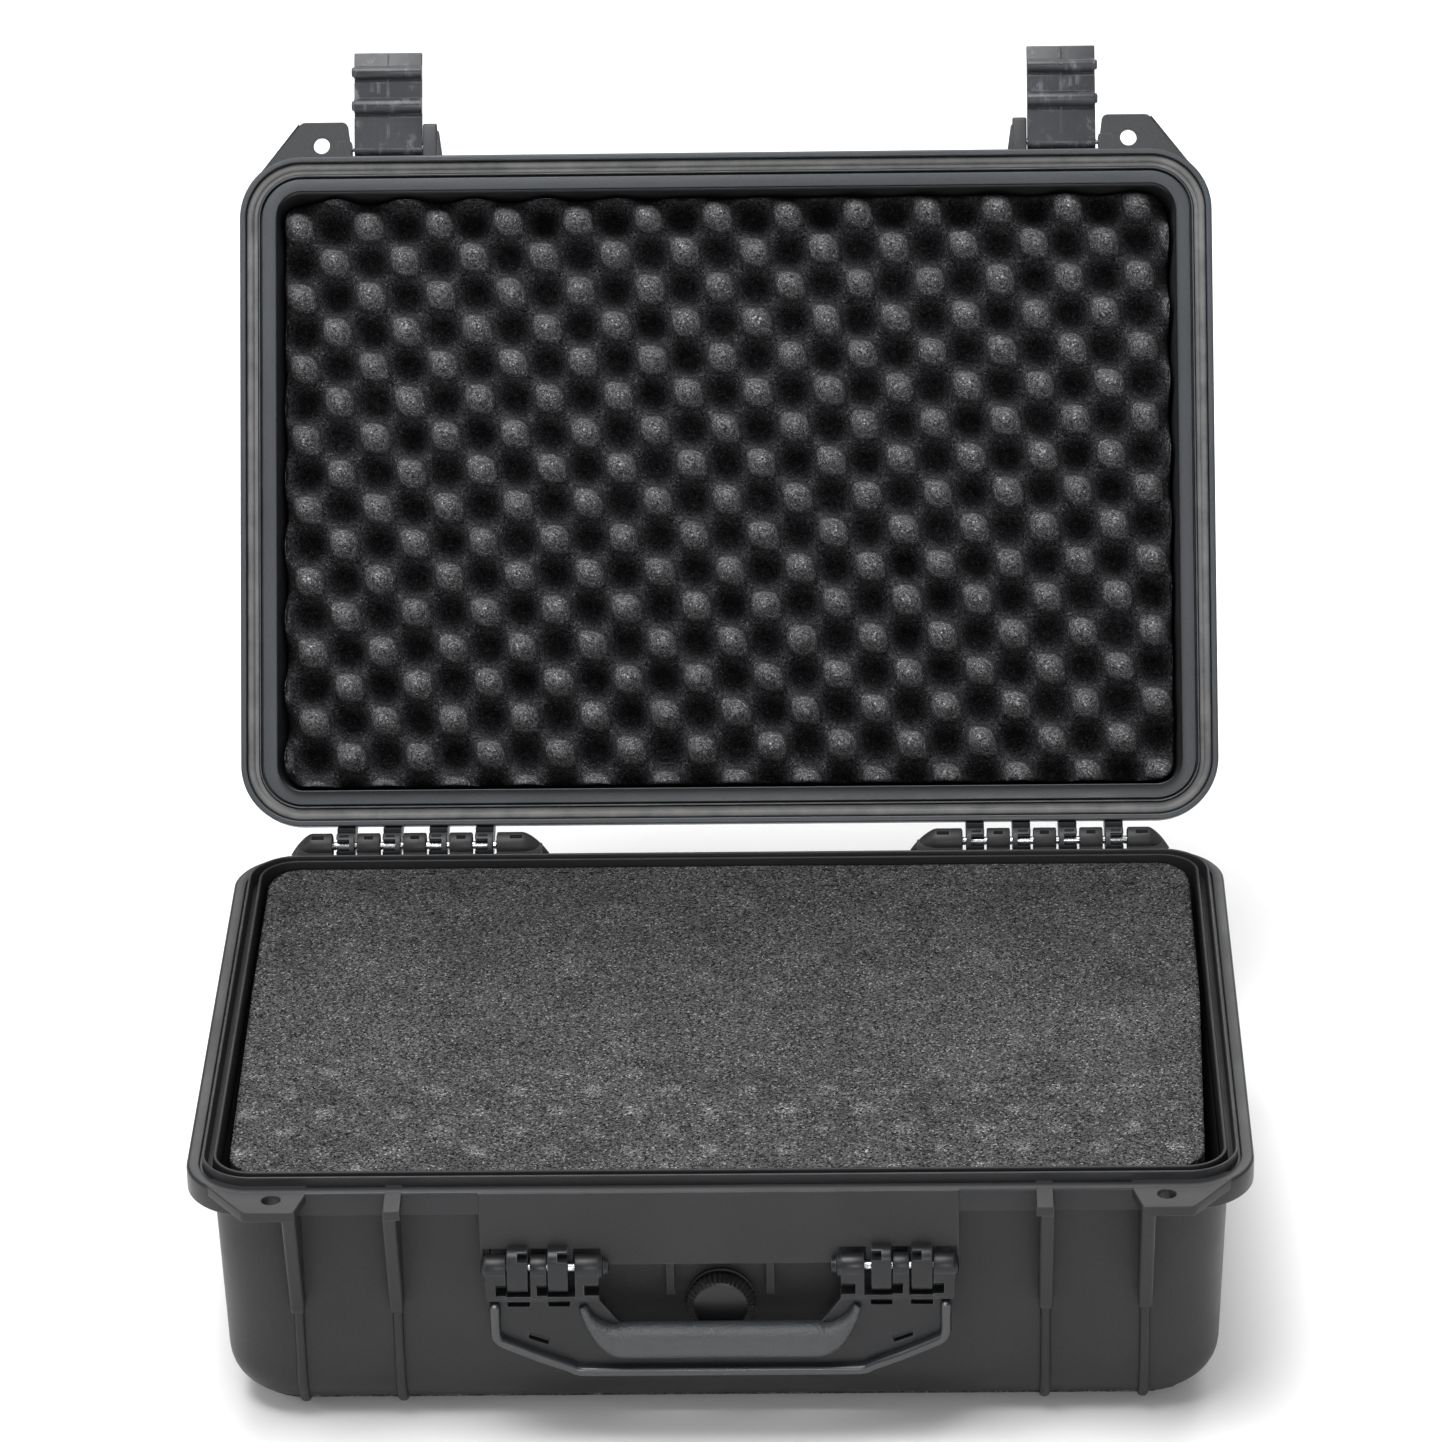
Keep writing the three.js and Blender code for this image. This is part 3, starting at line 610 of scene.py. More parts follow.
def steel(name):
    """A drawn steel pin, with fine lines round it."""
    n = Nodes(name, 0.28, 0.5, 1.0)
    lines = n.noise(0.9, 3, 0.6, n.stretched((6, 0.6, 0.6)))
    n.set("Base Color", n.mix(n.spread(lines, 0.3, 0.7), (0.52, 0.54, 0.57), (0.86, 0.88, 0.9)))
    n.set("Roughness", n.spread(lines, 0.3, 0.7, 0.2, 0.38))
    n.set("Normal", n.bump(lines, 0.02))
    return n.material


SHELL = plastic("case_plastic", (0.0235, 0.0235, 0.025), (0.085, 0.085, 0.088), 0.46, 0.26)
# a darker copy of the case plastic: painted shade on the inner step and the wall inside the rim
SHADED_STEP = plastic("step_plastic", (0.011, 0.011, 0.012), (0.05, 0.05, 0.053), 0.46, 0.25)
# a darker copy of the case plastic: painted shade on the base's flange and tongue
SHADED_RIM = plastic("rim_plastic", (0.017, 0.0175, 0.019), (0.09, 0.092, 0.096), 0.4, 0.3)
# a lighter copy of the case plastic: painted light on the lid's land
LIT_LID_RIM = plastic("lid_rim_plastic", (0.041, 0.045, 0.05), (0.14, 0.145, 0.15), 0.4, 0.42)
LID_BACK = plastic("lid_back_plastic", (0.026, 0.0265, 0.028), (0.085, 0.085, 0.088), 0.46, 0.26)
LID_SHELL = plastic("lid_plastic", (0.034, 0.036, 0.039), (0.11, 0.112, 0.118), 0.46, 0.3)
# a darker copy of the handle plastic: painted shade on the web under the grip
SHADED_PLATE = plastic("handle_plate_plastic", (0.010, 0.0105, 0.012), (0.12, 0.125, 0.13), 0.38, 0.36)
GRIP = plastic("handle_bar_plastic", (0.013, 0.0145, 0.017), (0.17, 0.18, 0.19), 0.3, 0.8)
GRIP_FACE = plastic("handle_grip_plastic", (0.019, 0.022, 0.025), (0.1, 0.108, 0.115), 0.36, 0.8, grain=0.7)
LATCH = plastic(
    "latch_plastic", (0.024, 0.026, 0.030), (0.17, 0.175, 0.185), 0.36, 0.4, edge_wear_and_highlight=0.7, scratches=0.7
)
KNOB = plastic("knob_plastic", (0.006, 0.006, 0.007), (0.05, 0.052, 0.056), 0.33, 0.45)
# painted shade and light for the egg-crate foam: near black in the hollows, pale on the crests
EGG_SHADE_TONES = ((0.0035, 0.0034, 0.004), (0.032, 0.031, 0.034), (0.118, 0.116, 0.121))
LID_FOAM = foam("egg_crate_foam", EGG_SHADE_TONES, 0.75, crest=lid_crest)
BASE_FOAM = foam("pluck_foam", ((0.046, 0.0445, 0.0445), (0.07, 0.069, 0.071)), 0.95, light_and_shade=pluck_light_and_shade)
GASKET = rubber("gasket_rubber", (0.085, 0.086, 0.086), (0.16, 0.16, 0.158))
SEAL = rubber("seal_rubber", (0.012, 0.012, 0.012), (0.03, 0.03, 0.03))
STEEL = steel("pin_steel")


# ---- base shell
def base_half(z, offset=0.0):
    """Half sizes of the drafted tub at height z, moved inwards by the offset."""
    t = (WALL_TOP - z) / WALL_TOP
    return HX - SIDE_INSET - DRAFT[0] * t - offset, HY - BODY_INSET - DRAFT[1] * t - offset


def tub(inwards):
    """Sections of the tub from its floor up, for the skin that lies this far inwards."""
    fillet, corner, top = FILLET - inwards, BODY_R - inwards, WALL_TOP + 2
    sections = []
    for i in range(11):
        t = i / 10 * math.pi / 2
        z = inwards + fillet * (1 - math.cos(t))
        inset = fillet * (1 - math.sin(t))
        hx, hy = base_half(z, inwards)
        sections.append((hx - inset, hy - inset, max(corner - inset * 0.55, 4), z))
    return [*sections, (*base_half(top, inwards), corner, top)]


def base_body():
    obj = add("base_tub", hollow(tub(0), tub(WALL), 0), SHELL, "base")
    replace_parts(obj, "base_shell")


def base_rim():
    """The flange with its sealing tongue, and the step inside it."""
    z = PART_Z
    flange = [
        (0, z - SKIRT, 0.9), (0, z, 1.6), (5.5, z, 0.4), (5.9, z - 1.4, 0.2), (7.0, z - 1.4, 0.2),
        (7.1, z + 4, 0.7), (8.3, z + 4, 0.7), (8.9, z - 3.6, 0.2), (8.9, z - SKIRT, 0.2),
    ]
    step = [
        (8.6, z - 3.5, 0.1), (11.4, z - 3.5, 0.3), (12.0, z + 3.7, 0.5), (13.5, z + 3.7, 0.5),
        (13.9, z - 4, 0.2), (13.9, z - 16, 0.3), (8.6, z - SKIRT + 0.4, 0.2),
    ]
    # the flange takes a darker copy of the case plastic: painted shade
    add("base_rim", rim_ring(flange), SHADED_RIM, "base")
    # the step takes a darker copy of the case plastic: painted shade
    add("base_step", rim_ring(step), SHADED_STEP, "base")


def rib_line(stand, foot, top):
    """Half of a rib's line: this far off the wall, round the fillet, and this far under the floor."""
    high, low = base_half(top)[1], base_half(FILLET)[1]
    line = [(high + stand, top), (low + stand, FILLET)]
    for i in range(1, 13):
        share = i / 12
        r = FILLET + stand + (foot - stand) * share
        t = share * math.pi / 2
        line.append((low - FILLET + r * math.cos(t), FILLET - r * math.sin(t)))
    return line


def wrap_rib(x, proud=2.75, runner=2.0, top=57.5):
    """A rib that runs down the front wall, under the floor and up the back wall."""
    outer, inner = rib_line(proud, runner, top), rib_line(-1, -1, top)
    outline = outer + [(-y, z) for y, z in outer[::-1]] + [(-y, z) for y, z in inner] + inner[::-1]
    return slab(outline, x - RIB_W / 2, x + RIB_W / 2, "x", bevel=1.9, rings=5)


def fin(x, width=6.2):
    """A latch-side fin: deep at the flange, tapering to a rounded toe on the wall."""
    z = PART_Z - 0.2
    outline = [(-147, z), (-178.5, z), (-178.2, PART_Z - 6), (-158.6, 64.5)]
    outline += arc(-154.6, 62.4, 4.2, 190, 275, 8)
    outline += [(-147, 57.6)]
    return slab(outline, x - width / 2, x + width / 2, "x", bevel=1.5, rings=5)


def tab_outline():
    """The base's padlock tab, from its root at the side to its root at the front."""
    side = [(229, -148), (224.2, -155.2)]
    nose_curve = [(208.2, -177.2), (206.6, -178.6), (204.8, TAB_FRONT)]
    inner = [(186.4, TAB_FRONT), (184.8, -178.3), (184.1, -177), (180.4, -163), (180.4, -150)]
    return side + nose_curve + inner


def lid_tab_outline():
    """The lid's tab stops at the flange's outer lip, clear of the seal's groove."""
    lip = arc(HX - FLANGE_R, FLANGE_R - HY, FLANGE_R - 1.2, 270, 324, 12)
    side = [(224, -155.2)]
    nose_curve = [(206.2, -177.4), (204.6, -178.7), (202.8, TAB_FRONT)]
    inner = [(184.8, TAB_FRONT), (183.2, -178.3), (182.4, -177), (180.6, -163), (180.6, 1.2 - HY)]
    return side + nose_curve + inner + lip


def padlock_ring():
    x, y, r = PADLOCK
    return arc(x, y, r, 0, 345, 23)


def base_front():
    """Ribs, fins and padlock tabs, and the short ledge beside the inner fin."""
    parts = [wrap_rib(x) for x in RIB_X] + [fin(x) for x in RIB_X]
    parts.append(block(138.4, RIB_X[0] + 2.75, -178.5, -150, TAB_LOW, TAB_TOP, 0.6))
    parts.append(slab(tab_outline(), TAB_LOW, TAB_TOP, holes=[padlock_ring()], bevel=0.6))
    add("base_fins_and_tabs", both(merge(parts)), SHELL, "base")


def rear_ribs():
    parts = [block(x - RIB_W / 2, x + RIB_W / 2, 146, HY - 9.5, 56, WALL_TOP + 1, 0.7) for x in RIB_X]
    add("base_rear_ribs", both(merge(parts)), SHELL, "base")


def nose(root, tip, outward):
    """A cap's barrel whose top falls away to the tip while its underside stays level."""
    stations = [(root, KNUCKLE_R - 0.7), (root + outward * 0.4, KNUCKLE_R - 0.1)]
    stations.append((root + outward, KNUCKLE_R))
    for i in range(13):
        t = i / 12
        along = root + (tip - root) * (0.5 + 0.5 * t)
        stations.append((along, KNUCKLE_R * max(1 - t**1.45, 0.02) ** 0.85))
    points = []
    for x, r in stations:
        drop = 0.75 * (r - KNUCKLE_R)
        for i in range(CAP_SIDES):
            t = 2 * math.pi * i / CAP_SIDES
            points.append((x, HINGE_Y + r * math.cos(t), PART_Z + drop + r * math.sin(t)))
    return tube(points, CAP_SIDES)


def slotted(mesh, x0, x1):
    """A hinge barrel with the small opening in its top."""
    return carve(mesh, [block(x0, x1, HINGE_Y - 3.4, HINGE_Y - 1.2, PART_Z + 3.4, PART_Z + 9, 0.1)])


def hinge_base():
    """Knuckles between the lid's fingers, end caps, and the webs and gussets that carry them."""
    root_z = WALL_TOP + 1
    web = [
        (HY - 2, PART_Z - 0.6), (HY - 2, WALL_TOP), (HINGE_Y - 2.6, WALL_TOP),
        (HINGE_Y + 3.2, PART_Z - 8), (HINGE_Y + 5.4, PART_Z - 3), (HINGE_Y, PART_Z + 1),
        (HINGE_Y - 4.6, PART_Z - 0.6),
    ]
    gusset = [(148, root_z), (148, PART_Z - 46), (150.6, PART_Z - 46)]
    gusset += [(HINGE_Y - 4, WALL_TOP - 4), (HINGE_Y - 3.4, root_z)]
    parts = []
    for x0, x1 in BASE_KNUCKLES:
        parts.append(slotted(rod(KNUCKLE_R, x0, x1, HINGE_Y, PART_Z, 48, 0.7), x0 + 3.2, x0 + 7.6))
    for (x0, x1), outward in ((INNER_CAP, -1), (OUTER_CAP, 1)):
        root, tip = (x0, x1) if outward > 0 else (x1, x0)
        middle = (x0 + x1) / 2 - outward * 3
        parts.append(slotted(nose(root, tip, outward), middle - 3, middle + 3))
    caps = [(INNER_CAP[0] + CAP_NOSE, INNER_CAP[1]), (OUTER_CAP[0], OUTER_CAP[1] - CAP_NOSE)]
    parts += [slab(web, x0 + 0.1, x1 - 0.1, "x") for x0, x1 in (*BASE_KNUCKLES, *caps)]
    for x0, x1 in (*BASE_KNUCKLES, INNER_CAP, OUTER_CAP):
        middle = (x0 + x1) / 2
        parts.append(slab(gusset, middle - 2, middle + 2, "x", bevel=0.6))
    add("hinge_knuckles_base", both(merge(parts)), SHELL, "base")


def apron_edge(low, high, half=105, gap=0.6):
    """The panel's outline, notched where the handle's knuckles turn."""
    edge = [(-half, low)]
    notches = [(a - gap, b + gap) for a, b in HANDLE_KNUCKLES]
    notches += [(-b, -a) for a, b in notches]
    for a, b in sorted(notches):
        edge += [(a, low), (a, HANDLE_Z + 7.6), (b, HANDLE_Z + 7.6), (b, low)]
    return edge + [(half, low), (half, high), (-half, high)]


def apron():
    """The panel over the handle, its side walls, the ribs behind it and the pads they stand on."""
    low = APRON_LOW
    panel = slab(apron_edge(low, PART_Z - 0.3), APRON_FRONT, APRON_FRONT + 4.5, "y", bevel=0.45)
    parts = [panel]
    for s in (1, -1):
        parts.append(block(s * 103 - 2, s * 103 + 2, APRON_FRONT + 1, WALL_FRONT, low, WALL_TOP + 1, 0.4))
        parts.append(block(s * 22 - 1.7, s * 22 + 1.7, -156.5, WALL_FRONT, 67, WALL_TOP, 0.5))
        parts.append(block(s * 78 - 26.5, s * 78 + 26.5, -151.5, -149.4, low - 14, WALL_TOP, 0.3))
        for x in (66, 75, 84, 93):
            rib = (s * x - 1.6, s * x + 1.6, APRON_FRONT + 2, WALL_FRONT, low + 0.2, WALL_TOP)
            parts.append(block(*rib, 0.3))
    add("handle_apron", merge(parts), SHELL, "base")


def fixed_knuckles():
    """The base's own handle knuckles: hooks that hang from the apron, each with a square core-out."""
    outline = [(-158.9, 97.4), (-158.9, 86.6), (-160.4, 82)]
    outline += arc(-166, 80.8, 5.5, -10, -170, 9)
    outline += [(-171.9, 87.6)]
    outline += arc(-166.2, 90.6, 5.8, 175, 78, 9)
    parts = []
    for x0, x1 in FIXED_KNUCKLES:
        core = block(x0 - 2, x0 + 4.6, -175, -164.6, 92.6, 95.8, 0.1)
        parts.append(carve(slab(outline, x0, x1, "x", bevel=0.6), [core]))
    # the handle plastic's darker copy, which carries painted shade
    add("handle_knuckles_base", both(merge(parts)), SHADED_PLATE, "base")


# ---- steel pins
def pin(piece, node, side, r, ends, at, body, opened=False):
    """A steel pin along x between its ends, on the right or mirrored to the left."""
    mesh = rod(r, *ends, *at, 32, 0.3)
    if side == "left":
        mesh = mirrored(mesh)
    obj = add(f"{piece}_{side}", mesh, STEEL, body, opened)
    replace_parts(obj, f"{node}_{side}")


def pins():
    for side in SIDES:
        pin("hinge_rod", "hinge_pin", side, 2.0, (98, 202), (HINGE_Y, PART_Z), "base")
        pin("handle_rod", "handle_pin", side, 1.8, (57.2, 99.8), (HANDLE_Y, HANDLE_Z), "base")
        pin("latch_rod", "latch_pin", side, 1.5, (138.2, 185.5), (LATCH_Y, LATCH_Z), "lid", True)


# ---- purge valve
def valve_body():
    """The bushing's flange on its round pad, the knob's seal, and the nut and membrane inside."""
    at = (0, 0, VALVE_Z)
    flange = [(-154.3, 13.9), (-154.0, 14.5), (-152.2, 14.5), (-151.9, 14.2)]
    flange += [(-151.9, 9), (-137.5, 9), (-137.2, 8.7)]
    ring = add("valve_body", turned(flange, at), KNOB, "base")
    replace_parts(ring, "valve_bushing")
    seal = [(-156.3, 10.2), (-156.5, 11), (-155.6, 11.6), (-154.8, 11), (-154.7, 10.2)]
    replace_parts(add("valve_seal", turned(seal, at), SEAL, "base"), "knob_seal")
    for node, material in (("valve_nut", KNOB), ("valve_membrane", GASKET)):
        obj = frame["nodes"][node]
        obj.data.materials.clear()
        obj.data.materials.append(material)
    pad = turned([(-151.6, 14.4), (-151.3, 15), (-147, 15.4)], at, sides=64)
    add("valve_pad", pad, SHELL, "base")


def valve_knob(flutes=40):
    """A fluted knob; each station is (y, radius, depth of its flutes)."""
    stations = [(-153.9, 14.6, 0), (-153.9, 15.2, 0.3), (-154.3, 15.5, 0.55), (-155.4, 15.5, 0.6)]
    stations += [(-155.9, 15.1, 0.6), (-158.0, 13.1, 0.55), (-158.7, 12.5, 0.35), (-159.1, 12.0, 0.1)]
    stations += [(-159.3, 11.2, 0), (-159.5, 9.0, 0), (-159.75, 5.0, 0), (-159.85, 1.5, 0)]

    def wave(k, t):
        return -stations[k][2] * (0.5 - 0.5 * math.cos(flutes * t)) ** 0.6

    knob = turned([s[:2] for s in stations], (0, 0, VALVE_Z), sides=6 * flutes, wave=wave)
    obj = add("valve_knob", knob, KNOB, "knob", sharp=50)
    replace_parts(obj, "purge_knob")


# ---- carry handle
def opposite(points):
    """The same x, z points on the other side of the middle, in reverse order."""
    return [(-x, z) for x, z in points[::-1]]


def handle_web():
    """The flat plate between the knuckles, the frame bar and the grip, with its slots."""
    under = [(100.6, 73.4), (100.4, 51), (97.8, 47.8), (62.4, 35.6), (58.6, 34.8)]
    over = [(-53.4, 73.4), (-52.8, 70.6), (-44.4, 59.4), (-36, 56)]
    slots = []
    for x0, x1 in FIXED_KNUCKLES:
        for a, b in ((x0, x1), (-x1, -x0)):
            slots.append([(a - 0.2, 67.8), (b + 0.2, 67.8), (b + 0.2, 71.4), (a - 0.2, 71.4)])
    for s in (1, -1):
        slots.append([(s * 84.6, 51.6), (s * 84.2, 54.8), (s * 75.6, 51.6), (s * 76.2, 48.4)])
    outline = under + opposite(under) + over + opposite(over)
    return slab(outline, -167.2, -163.6, "y", holes=slots, bevel=0.4)


def frame_bar():
    """The thin bar round the handle's lower edge, thinner at its two ends."""
    corner = [(-99.0, 71.0), (-99.0, 70.4), (-99.0, 69.2), (-99.0, 62), (-99.0, 57.5)]
    corner += arc(-92.6, 56.4, 6.4, 190, 246, 6)
    corner += [(-80, 43.4), (-66.0, 37.9)]
    corner += arc(-60.0, 50.0, 13.9, 252, 268, 4)
    corner += [(-52, 36.0), (-20, 36.0)]
    line = corner + opposite(corner)
    line = [p for i, p in enumerate(line) if i == 0 or math.dist(p, line[i - 1]) > 0.5]
    path = []
    for k, (x, z) in enumerate(line):
        fade = (0.35, 0.8, 1.0)[min(k, len(line) - 1 - k, 2)]
        path.append((x, z, 2.45 * fade, -167.4 + 1.6 * (1 - fade), 4.1 * fade))
    return bar(path, 24, 0.72)


def grip():
    """The thick grip, swelling from two thin arms; a knot is as bar() takes it."""
    arm = [
        (-60.3, 68.8, 1.0, -166.6, 1.6),
        (-60.1, 68.2, 1.9, -167.2, 3.0),
        (-59.7, 66.4, 2.3, -167.5, 3.7),
        (-57.8, 62.2, 2.9, -167.8, 4.3),
        (-54.4, 57.6, 4.3, -168.2, 5.2),
        (-49.6, 53.4, 6.3, -168.5, 6.2),
        (-44.6, 51.6, 7.9, -168.6, 6.8),
        (-38.0, 51.4, 8.1, -168.6, 6.9),
        (-20.0, 51.4, 8.1, -168.6, 6.95),
    ]
    other = [(-x, *rest) for x, *rest in arm[::-1]]
    return bar(smooth_path(arm + other, 7), 40, 0.84)


def handle_knuckles():
    """The handle's knuckles on their shanks, each with a core-out, and the shelf under them."""
    shank = [(-171.6, 86), (-171.4, 76.6), (-170.6, 73.6), (-163.6, 73.4), (-162.6, 77), (-160.4, 86)]
    shelf = [(-170.2, 72.2), (-170.2, 74.4), (-164, 74.8), (-164, 72.2)]
    outer_end = [(0, 5.3), (1.1, 4.6), (1.8, 3.2), (2.0, 0.6)]
    inner_end = [(0, 5.5), (-1.6, 4.9), (-2.2, 3.6), (-4.2, 3.0), (-4.6, 1.0)]
    parts = []
    for (x0, x1), share in zip(HANDLE_KNUCKLES, (0.5, 0.62, 0.62)):
        core = block(x0 - 1, x0 + (x1 - x0) * share, -175, -163.4, 75.4, 81.0, 0.1)
        parts.append(rod(5.8, x0, x1, HANDLE_Y, HANDLE_Z, 40, 0.6))
        parts.append(carve(slab(shank, x0, x1, "x"), [core]))
    parts.append(turned(outer_end, (HANDLE_KNUCKLES[0][1], HANDLE_Y, HANDLE_Z), "x", 40))
    parts.append(turned(inner_end, (HANDLE_KNUCKLES[-1][0] + 0.2, HANDLE_Y, HANDLE_Z), "x", 40))
    parts.append(slab(shelf, 52.8, 102.4, "x", bevel=0.6))
    return both(merge(parts))


def carry_handle():
    plate = merge([handle_web(), handle_knuckles()])
    # the plate takes the darker copy of the handle plastic: painted shade on the web
    obj = add("handle_plate", plate, SHADED_PLATE, "handle")
    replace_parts(obj, "carry_handle")
    add("handle_frame_bar", frame_bar(), GRIP, "handle")
    add("handle_grip", grip(), GRIP_FACE, "handle")


# ---- lid shell, drawn closed
def lid_half(z):
    """Half sizes of the lid's drafted wall at height z."""
    t = (z - PART_Z) / (LID_TOP - PART_Z)
    return HX - BODY_INSET - 2 * t, HY - BODY_INSET - 2 * t


def lid_body():
    """The lid's outer and inner skins, above its flange."""
    z = PART_Z + 12
    outer = [(*lid_half(z), LID_R, z)]
    inner = [(*LINING_MOUTH, LINING_R, PART_Z + 1.6)]
    for i in range(11):
        t = i / 10 * math.pi / 2
        z = LID_TOP - LID_FILLET * (1 - math.sin(t))
        inset = LID_FILLET * (1 - math.cos(t))
        hx, hy = lid_half(z)
        outer.append((hx - inset, hy - inset, max(LID_R - inset * 0.5, 5), z))
        z = LID_TOP - WALL - LINING_FILLET * (1 - math.sin(t))
        inset = LINING_FILLET * (1 - math.cos(t))
        hx, hy = LINING_HALF
        inner.append((hx - inset, hy - inset, max(LINING_R - inset * 0.5, 5), z))
    obj = add("lid_body", hollow(outer, inner, -1), LID_BACK, "lid", True)
    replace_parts(obj, "lid_shell")


def lid_rim():
    """The lid's flange with the groove for its seal and the land inside it."""
    z = PART_Z
    profile = [
        (0, z + 1, 0.8), (0, z + 14, 1.2), (11.5, z + 14.6, 0.6), (16, z + 14, 0.2),
        (17.5, z + 9, 0.2), (17.5, z + 4.5, 0.7), (10.6, z + 4.5, 0.5), (10.3, z + 9, 0.2),
        (9.7, z + 9, 0.2), (9.6, z + 3.4, 0.25), (8.9, z + 3.4, 0.25), (8.7, z + 9.9, 0.2),
        (3.0, z + 9.9, 0.2), (2.7, z + 1, 0.5),
    ]
    # the land takes a lighter copy of the case plastic: painted light
    add("lid_rim", rim_ring(profile), LIT_LID_RIM, "lid", True)


def gasket():
    """A seal with a crown at its outer edge and a lower shelf beside it."""
    z = PART_Z
    profile = [
        (3.1, z + 9.7, 0.2), (3.1, z + 4.4, 0.6), (3.8, z + 3.5, 0.6), (5.6, z + 3.5, 0.6),
        (6.4, z + 4.2, 0.3), (6.8, z + 5.0, 0.2), (8.5, z + 5.0, 0.3), (8.5, z + 9.7, 0.2),
    ]
    obj = add("lid_seal", rim_ring(profile), GASKET, "lid", True)
    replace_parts(obj, "lid_gasket")


def latch_ears():
    """The ear and the boss that hold a latch's pin, and the slab beside the ear."""
    z = PART_Z
    boss = [(-161, z + 15), (-161, z + 1.1), (-169.5, z + 1.1), (-169.5, z + 9)]
    boss += [(-166, z + 11.4), (-150, z + 25), (-147, z + 25), (-147, z + 15)]
    ear = [(-161, z + 15), (-161, z + 1.1), (-176.4, z + 1.1)]
    ear += arc(-176.2, z + 3.1, 2, 250, 160, 5)
    ear += [(-171.6, z + 10), (-150, z + 25.6), (-147, z + 25.6), (-147, z + 15)]
    flank = [(145.4, -161), (145.4, -175), (140.4, -175.6), (138.4, -174.2), (136.6, -161)]
    return [
        slab(boss, 180.6, 187.6, "x", bevel=0.7),
        slab(ear, 139.2, 146.1, "x", bevel=0.9),
        slab(flank, z + 1.8, z + 9, bevel=0.8),
    ]


def hinge_finger(x):
    """One of the lid's straps round the hinge pin, with the opening that shows the pin."""
    z, x0, x1 = PART_Z, x - FINGER_W / 2, x + FINGER_W / 2
    outline = [(HINGE_Y - 8.6, z + 1.4), (HINGE_Y - 5.2, z + 3.4)]
    outline += arc(HINGE_Y, z, KNUCKLE_R, 146, 400, 16)
    outline += [(HINGE_Y + 3.4, z + 10), (151, z + 35), (147, z + 35), (147, z + 13), (161, z + 13)]
    window = block(x0 + 2.4, x1 + 2, HINGE_Y - 2.9, HINGE_Y + 2.8, z - 9, z + 0.4, 0.1)
    notch = block(x0 + 2.6, x1 - 1.4, HINGE_Y - 5.2, HINGE_Y - 3.8, z - 9, z - 2, 0.1)
    return carve(slab(outline, x0, x1, "x", bevel=0.55), [window, notch])


def lid_fittings():
    """Padlock tabs, latch ears, the long ribs on the lid's top, and the hinge fingers."""
    parts = [slab(lid_tab_outline(), PART_Z + 1.05, PART_Z + 6, holes=[padlock_ring()])]
    parts += latch_ears()
    for x in RIB_X:
        parts.append(block(x - RIB_W / 2, x + RIB_W / 2, -132, 132, LID_TOP - 1, LID_TOP + 1.6, 0.6))
    parts += [hinge_finger(x) for x in FINGER_X]
    add("lid_fittings", both(merge(parts)), LID_SHELL, "lid", True)


# ---- latches, drawn folded up
def latch(side):
    """A lever with two rounded ridges across it; y(a) and z(b) count from the latch's pin."""

    def y(a):
        return LATCH_Y - a

    def z(b):
        return LATCH_Z + b

    low, high = LATCH_X - LATCH_W / 2, LATCH_X + LATCH_W / 2
    lower, upper = 20.4, 36.8
    outline = [(y(-0.5), z(2)), (y(-0.5), z(-2.5))]
    outline += [(y(14.9), z(-2.5)), (y(15.2), z(-1.3)), (y(16.6), z(-1.3))]
    outline += arc(y(lower), z(-2.4), 3.8, 0, -180, 12)
    outline += [(y(31.9), z(-2.5)), (y(32.2), z(-1.3)), (y(33.4), z(-1.3))]
    outline += arc(y(upper), z(-2.4), 3.3, 0, -180, 12)
    outline += [(y(46.3), z(-1.2)), (y(46.7), z(-0.6))]
    outline += [(y(46.7), z(3.2)), (y(46.2), z(3.6)), (y(40), z(2.2))]
    parts = [slab(outline, low, high, "x", bevel=0.55)]
    parts.append(slab(arc(LATCH_Y, z(1.1), 3.6, 0, 345, 23), low, high, "x", bevel=0.4))
    for a, top in ((lower, -6.15), (upper, -5.65)):
        parts.append(rod(2.5, high - 1.2, high + 1.1, y(a), z(-3.4), 32, 0.8))
        parts.append(rod(0.45, LATCH_X - 0.9, LATCH_X + 0.9, y(a), z(top), 12, 0.1))
    parts.append(block(LATCH_X - 0.35, LATCH_X + 0.35, y(46), y(4), z(-2.75), z(-2.2), 0.1))
    for near, far, foot in ((4.2, 5.0, 26.6), (7.4, 8.3, 27.4)):
        parts.append(block(LATCH_X + near, LATCH_X + far, y(31.6), y(foot), z(-3.1), z(-2.2), 0.2))
    mesh = merge(parts)
    if side == "left":
        mesh = mirrored(mesh)
    obj = add(f"latch_lever_{side}", mesh, LATCH, f"latch_{side}", True)
    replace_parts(obj, f"latch_{side}")


# ---- foam
def rough(x, y, scale, seed=0.0):
    return noise.noise(Vector((x * scale, y * scale, seed)))


def rounded_grid(hx, hy, corner, xs, ys, height):
    """Points of a grid whose four corners are drawn in to a round outline."""
    points = []
    for yy in ys:
        for xx in xs:
            x, y = xx, yy
            over_x, over_y = abs(x) - (hx - corner), abs(y) - (hy - corner)
            if over_x > 0 and over_y > 0:
                shrink = max(over_x, over_y) / math.hypot(over_x, over_y)
                x = math.copysign(hx - corner + over_x * shrink, x)
                y = math.copysign(hy - corner + over_y * shrink, y)
            points.append((x, y, height(x, y)))
    return points


def grid_border(nx, ny):
    """The grid's outer points in order: front, right, back and left."""
    border = list(range(nx))
    border += [j * nx + nx - 1 for j in range(1, ny)]
    border += [(ny - 1) * nx + i for i in range(nx - 2, -1, -1)]
    return border + [j * nx for j in range(ny - 2, 0, -1)]


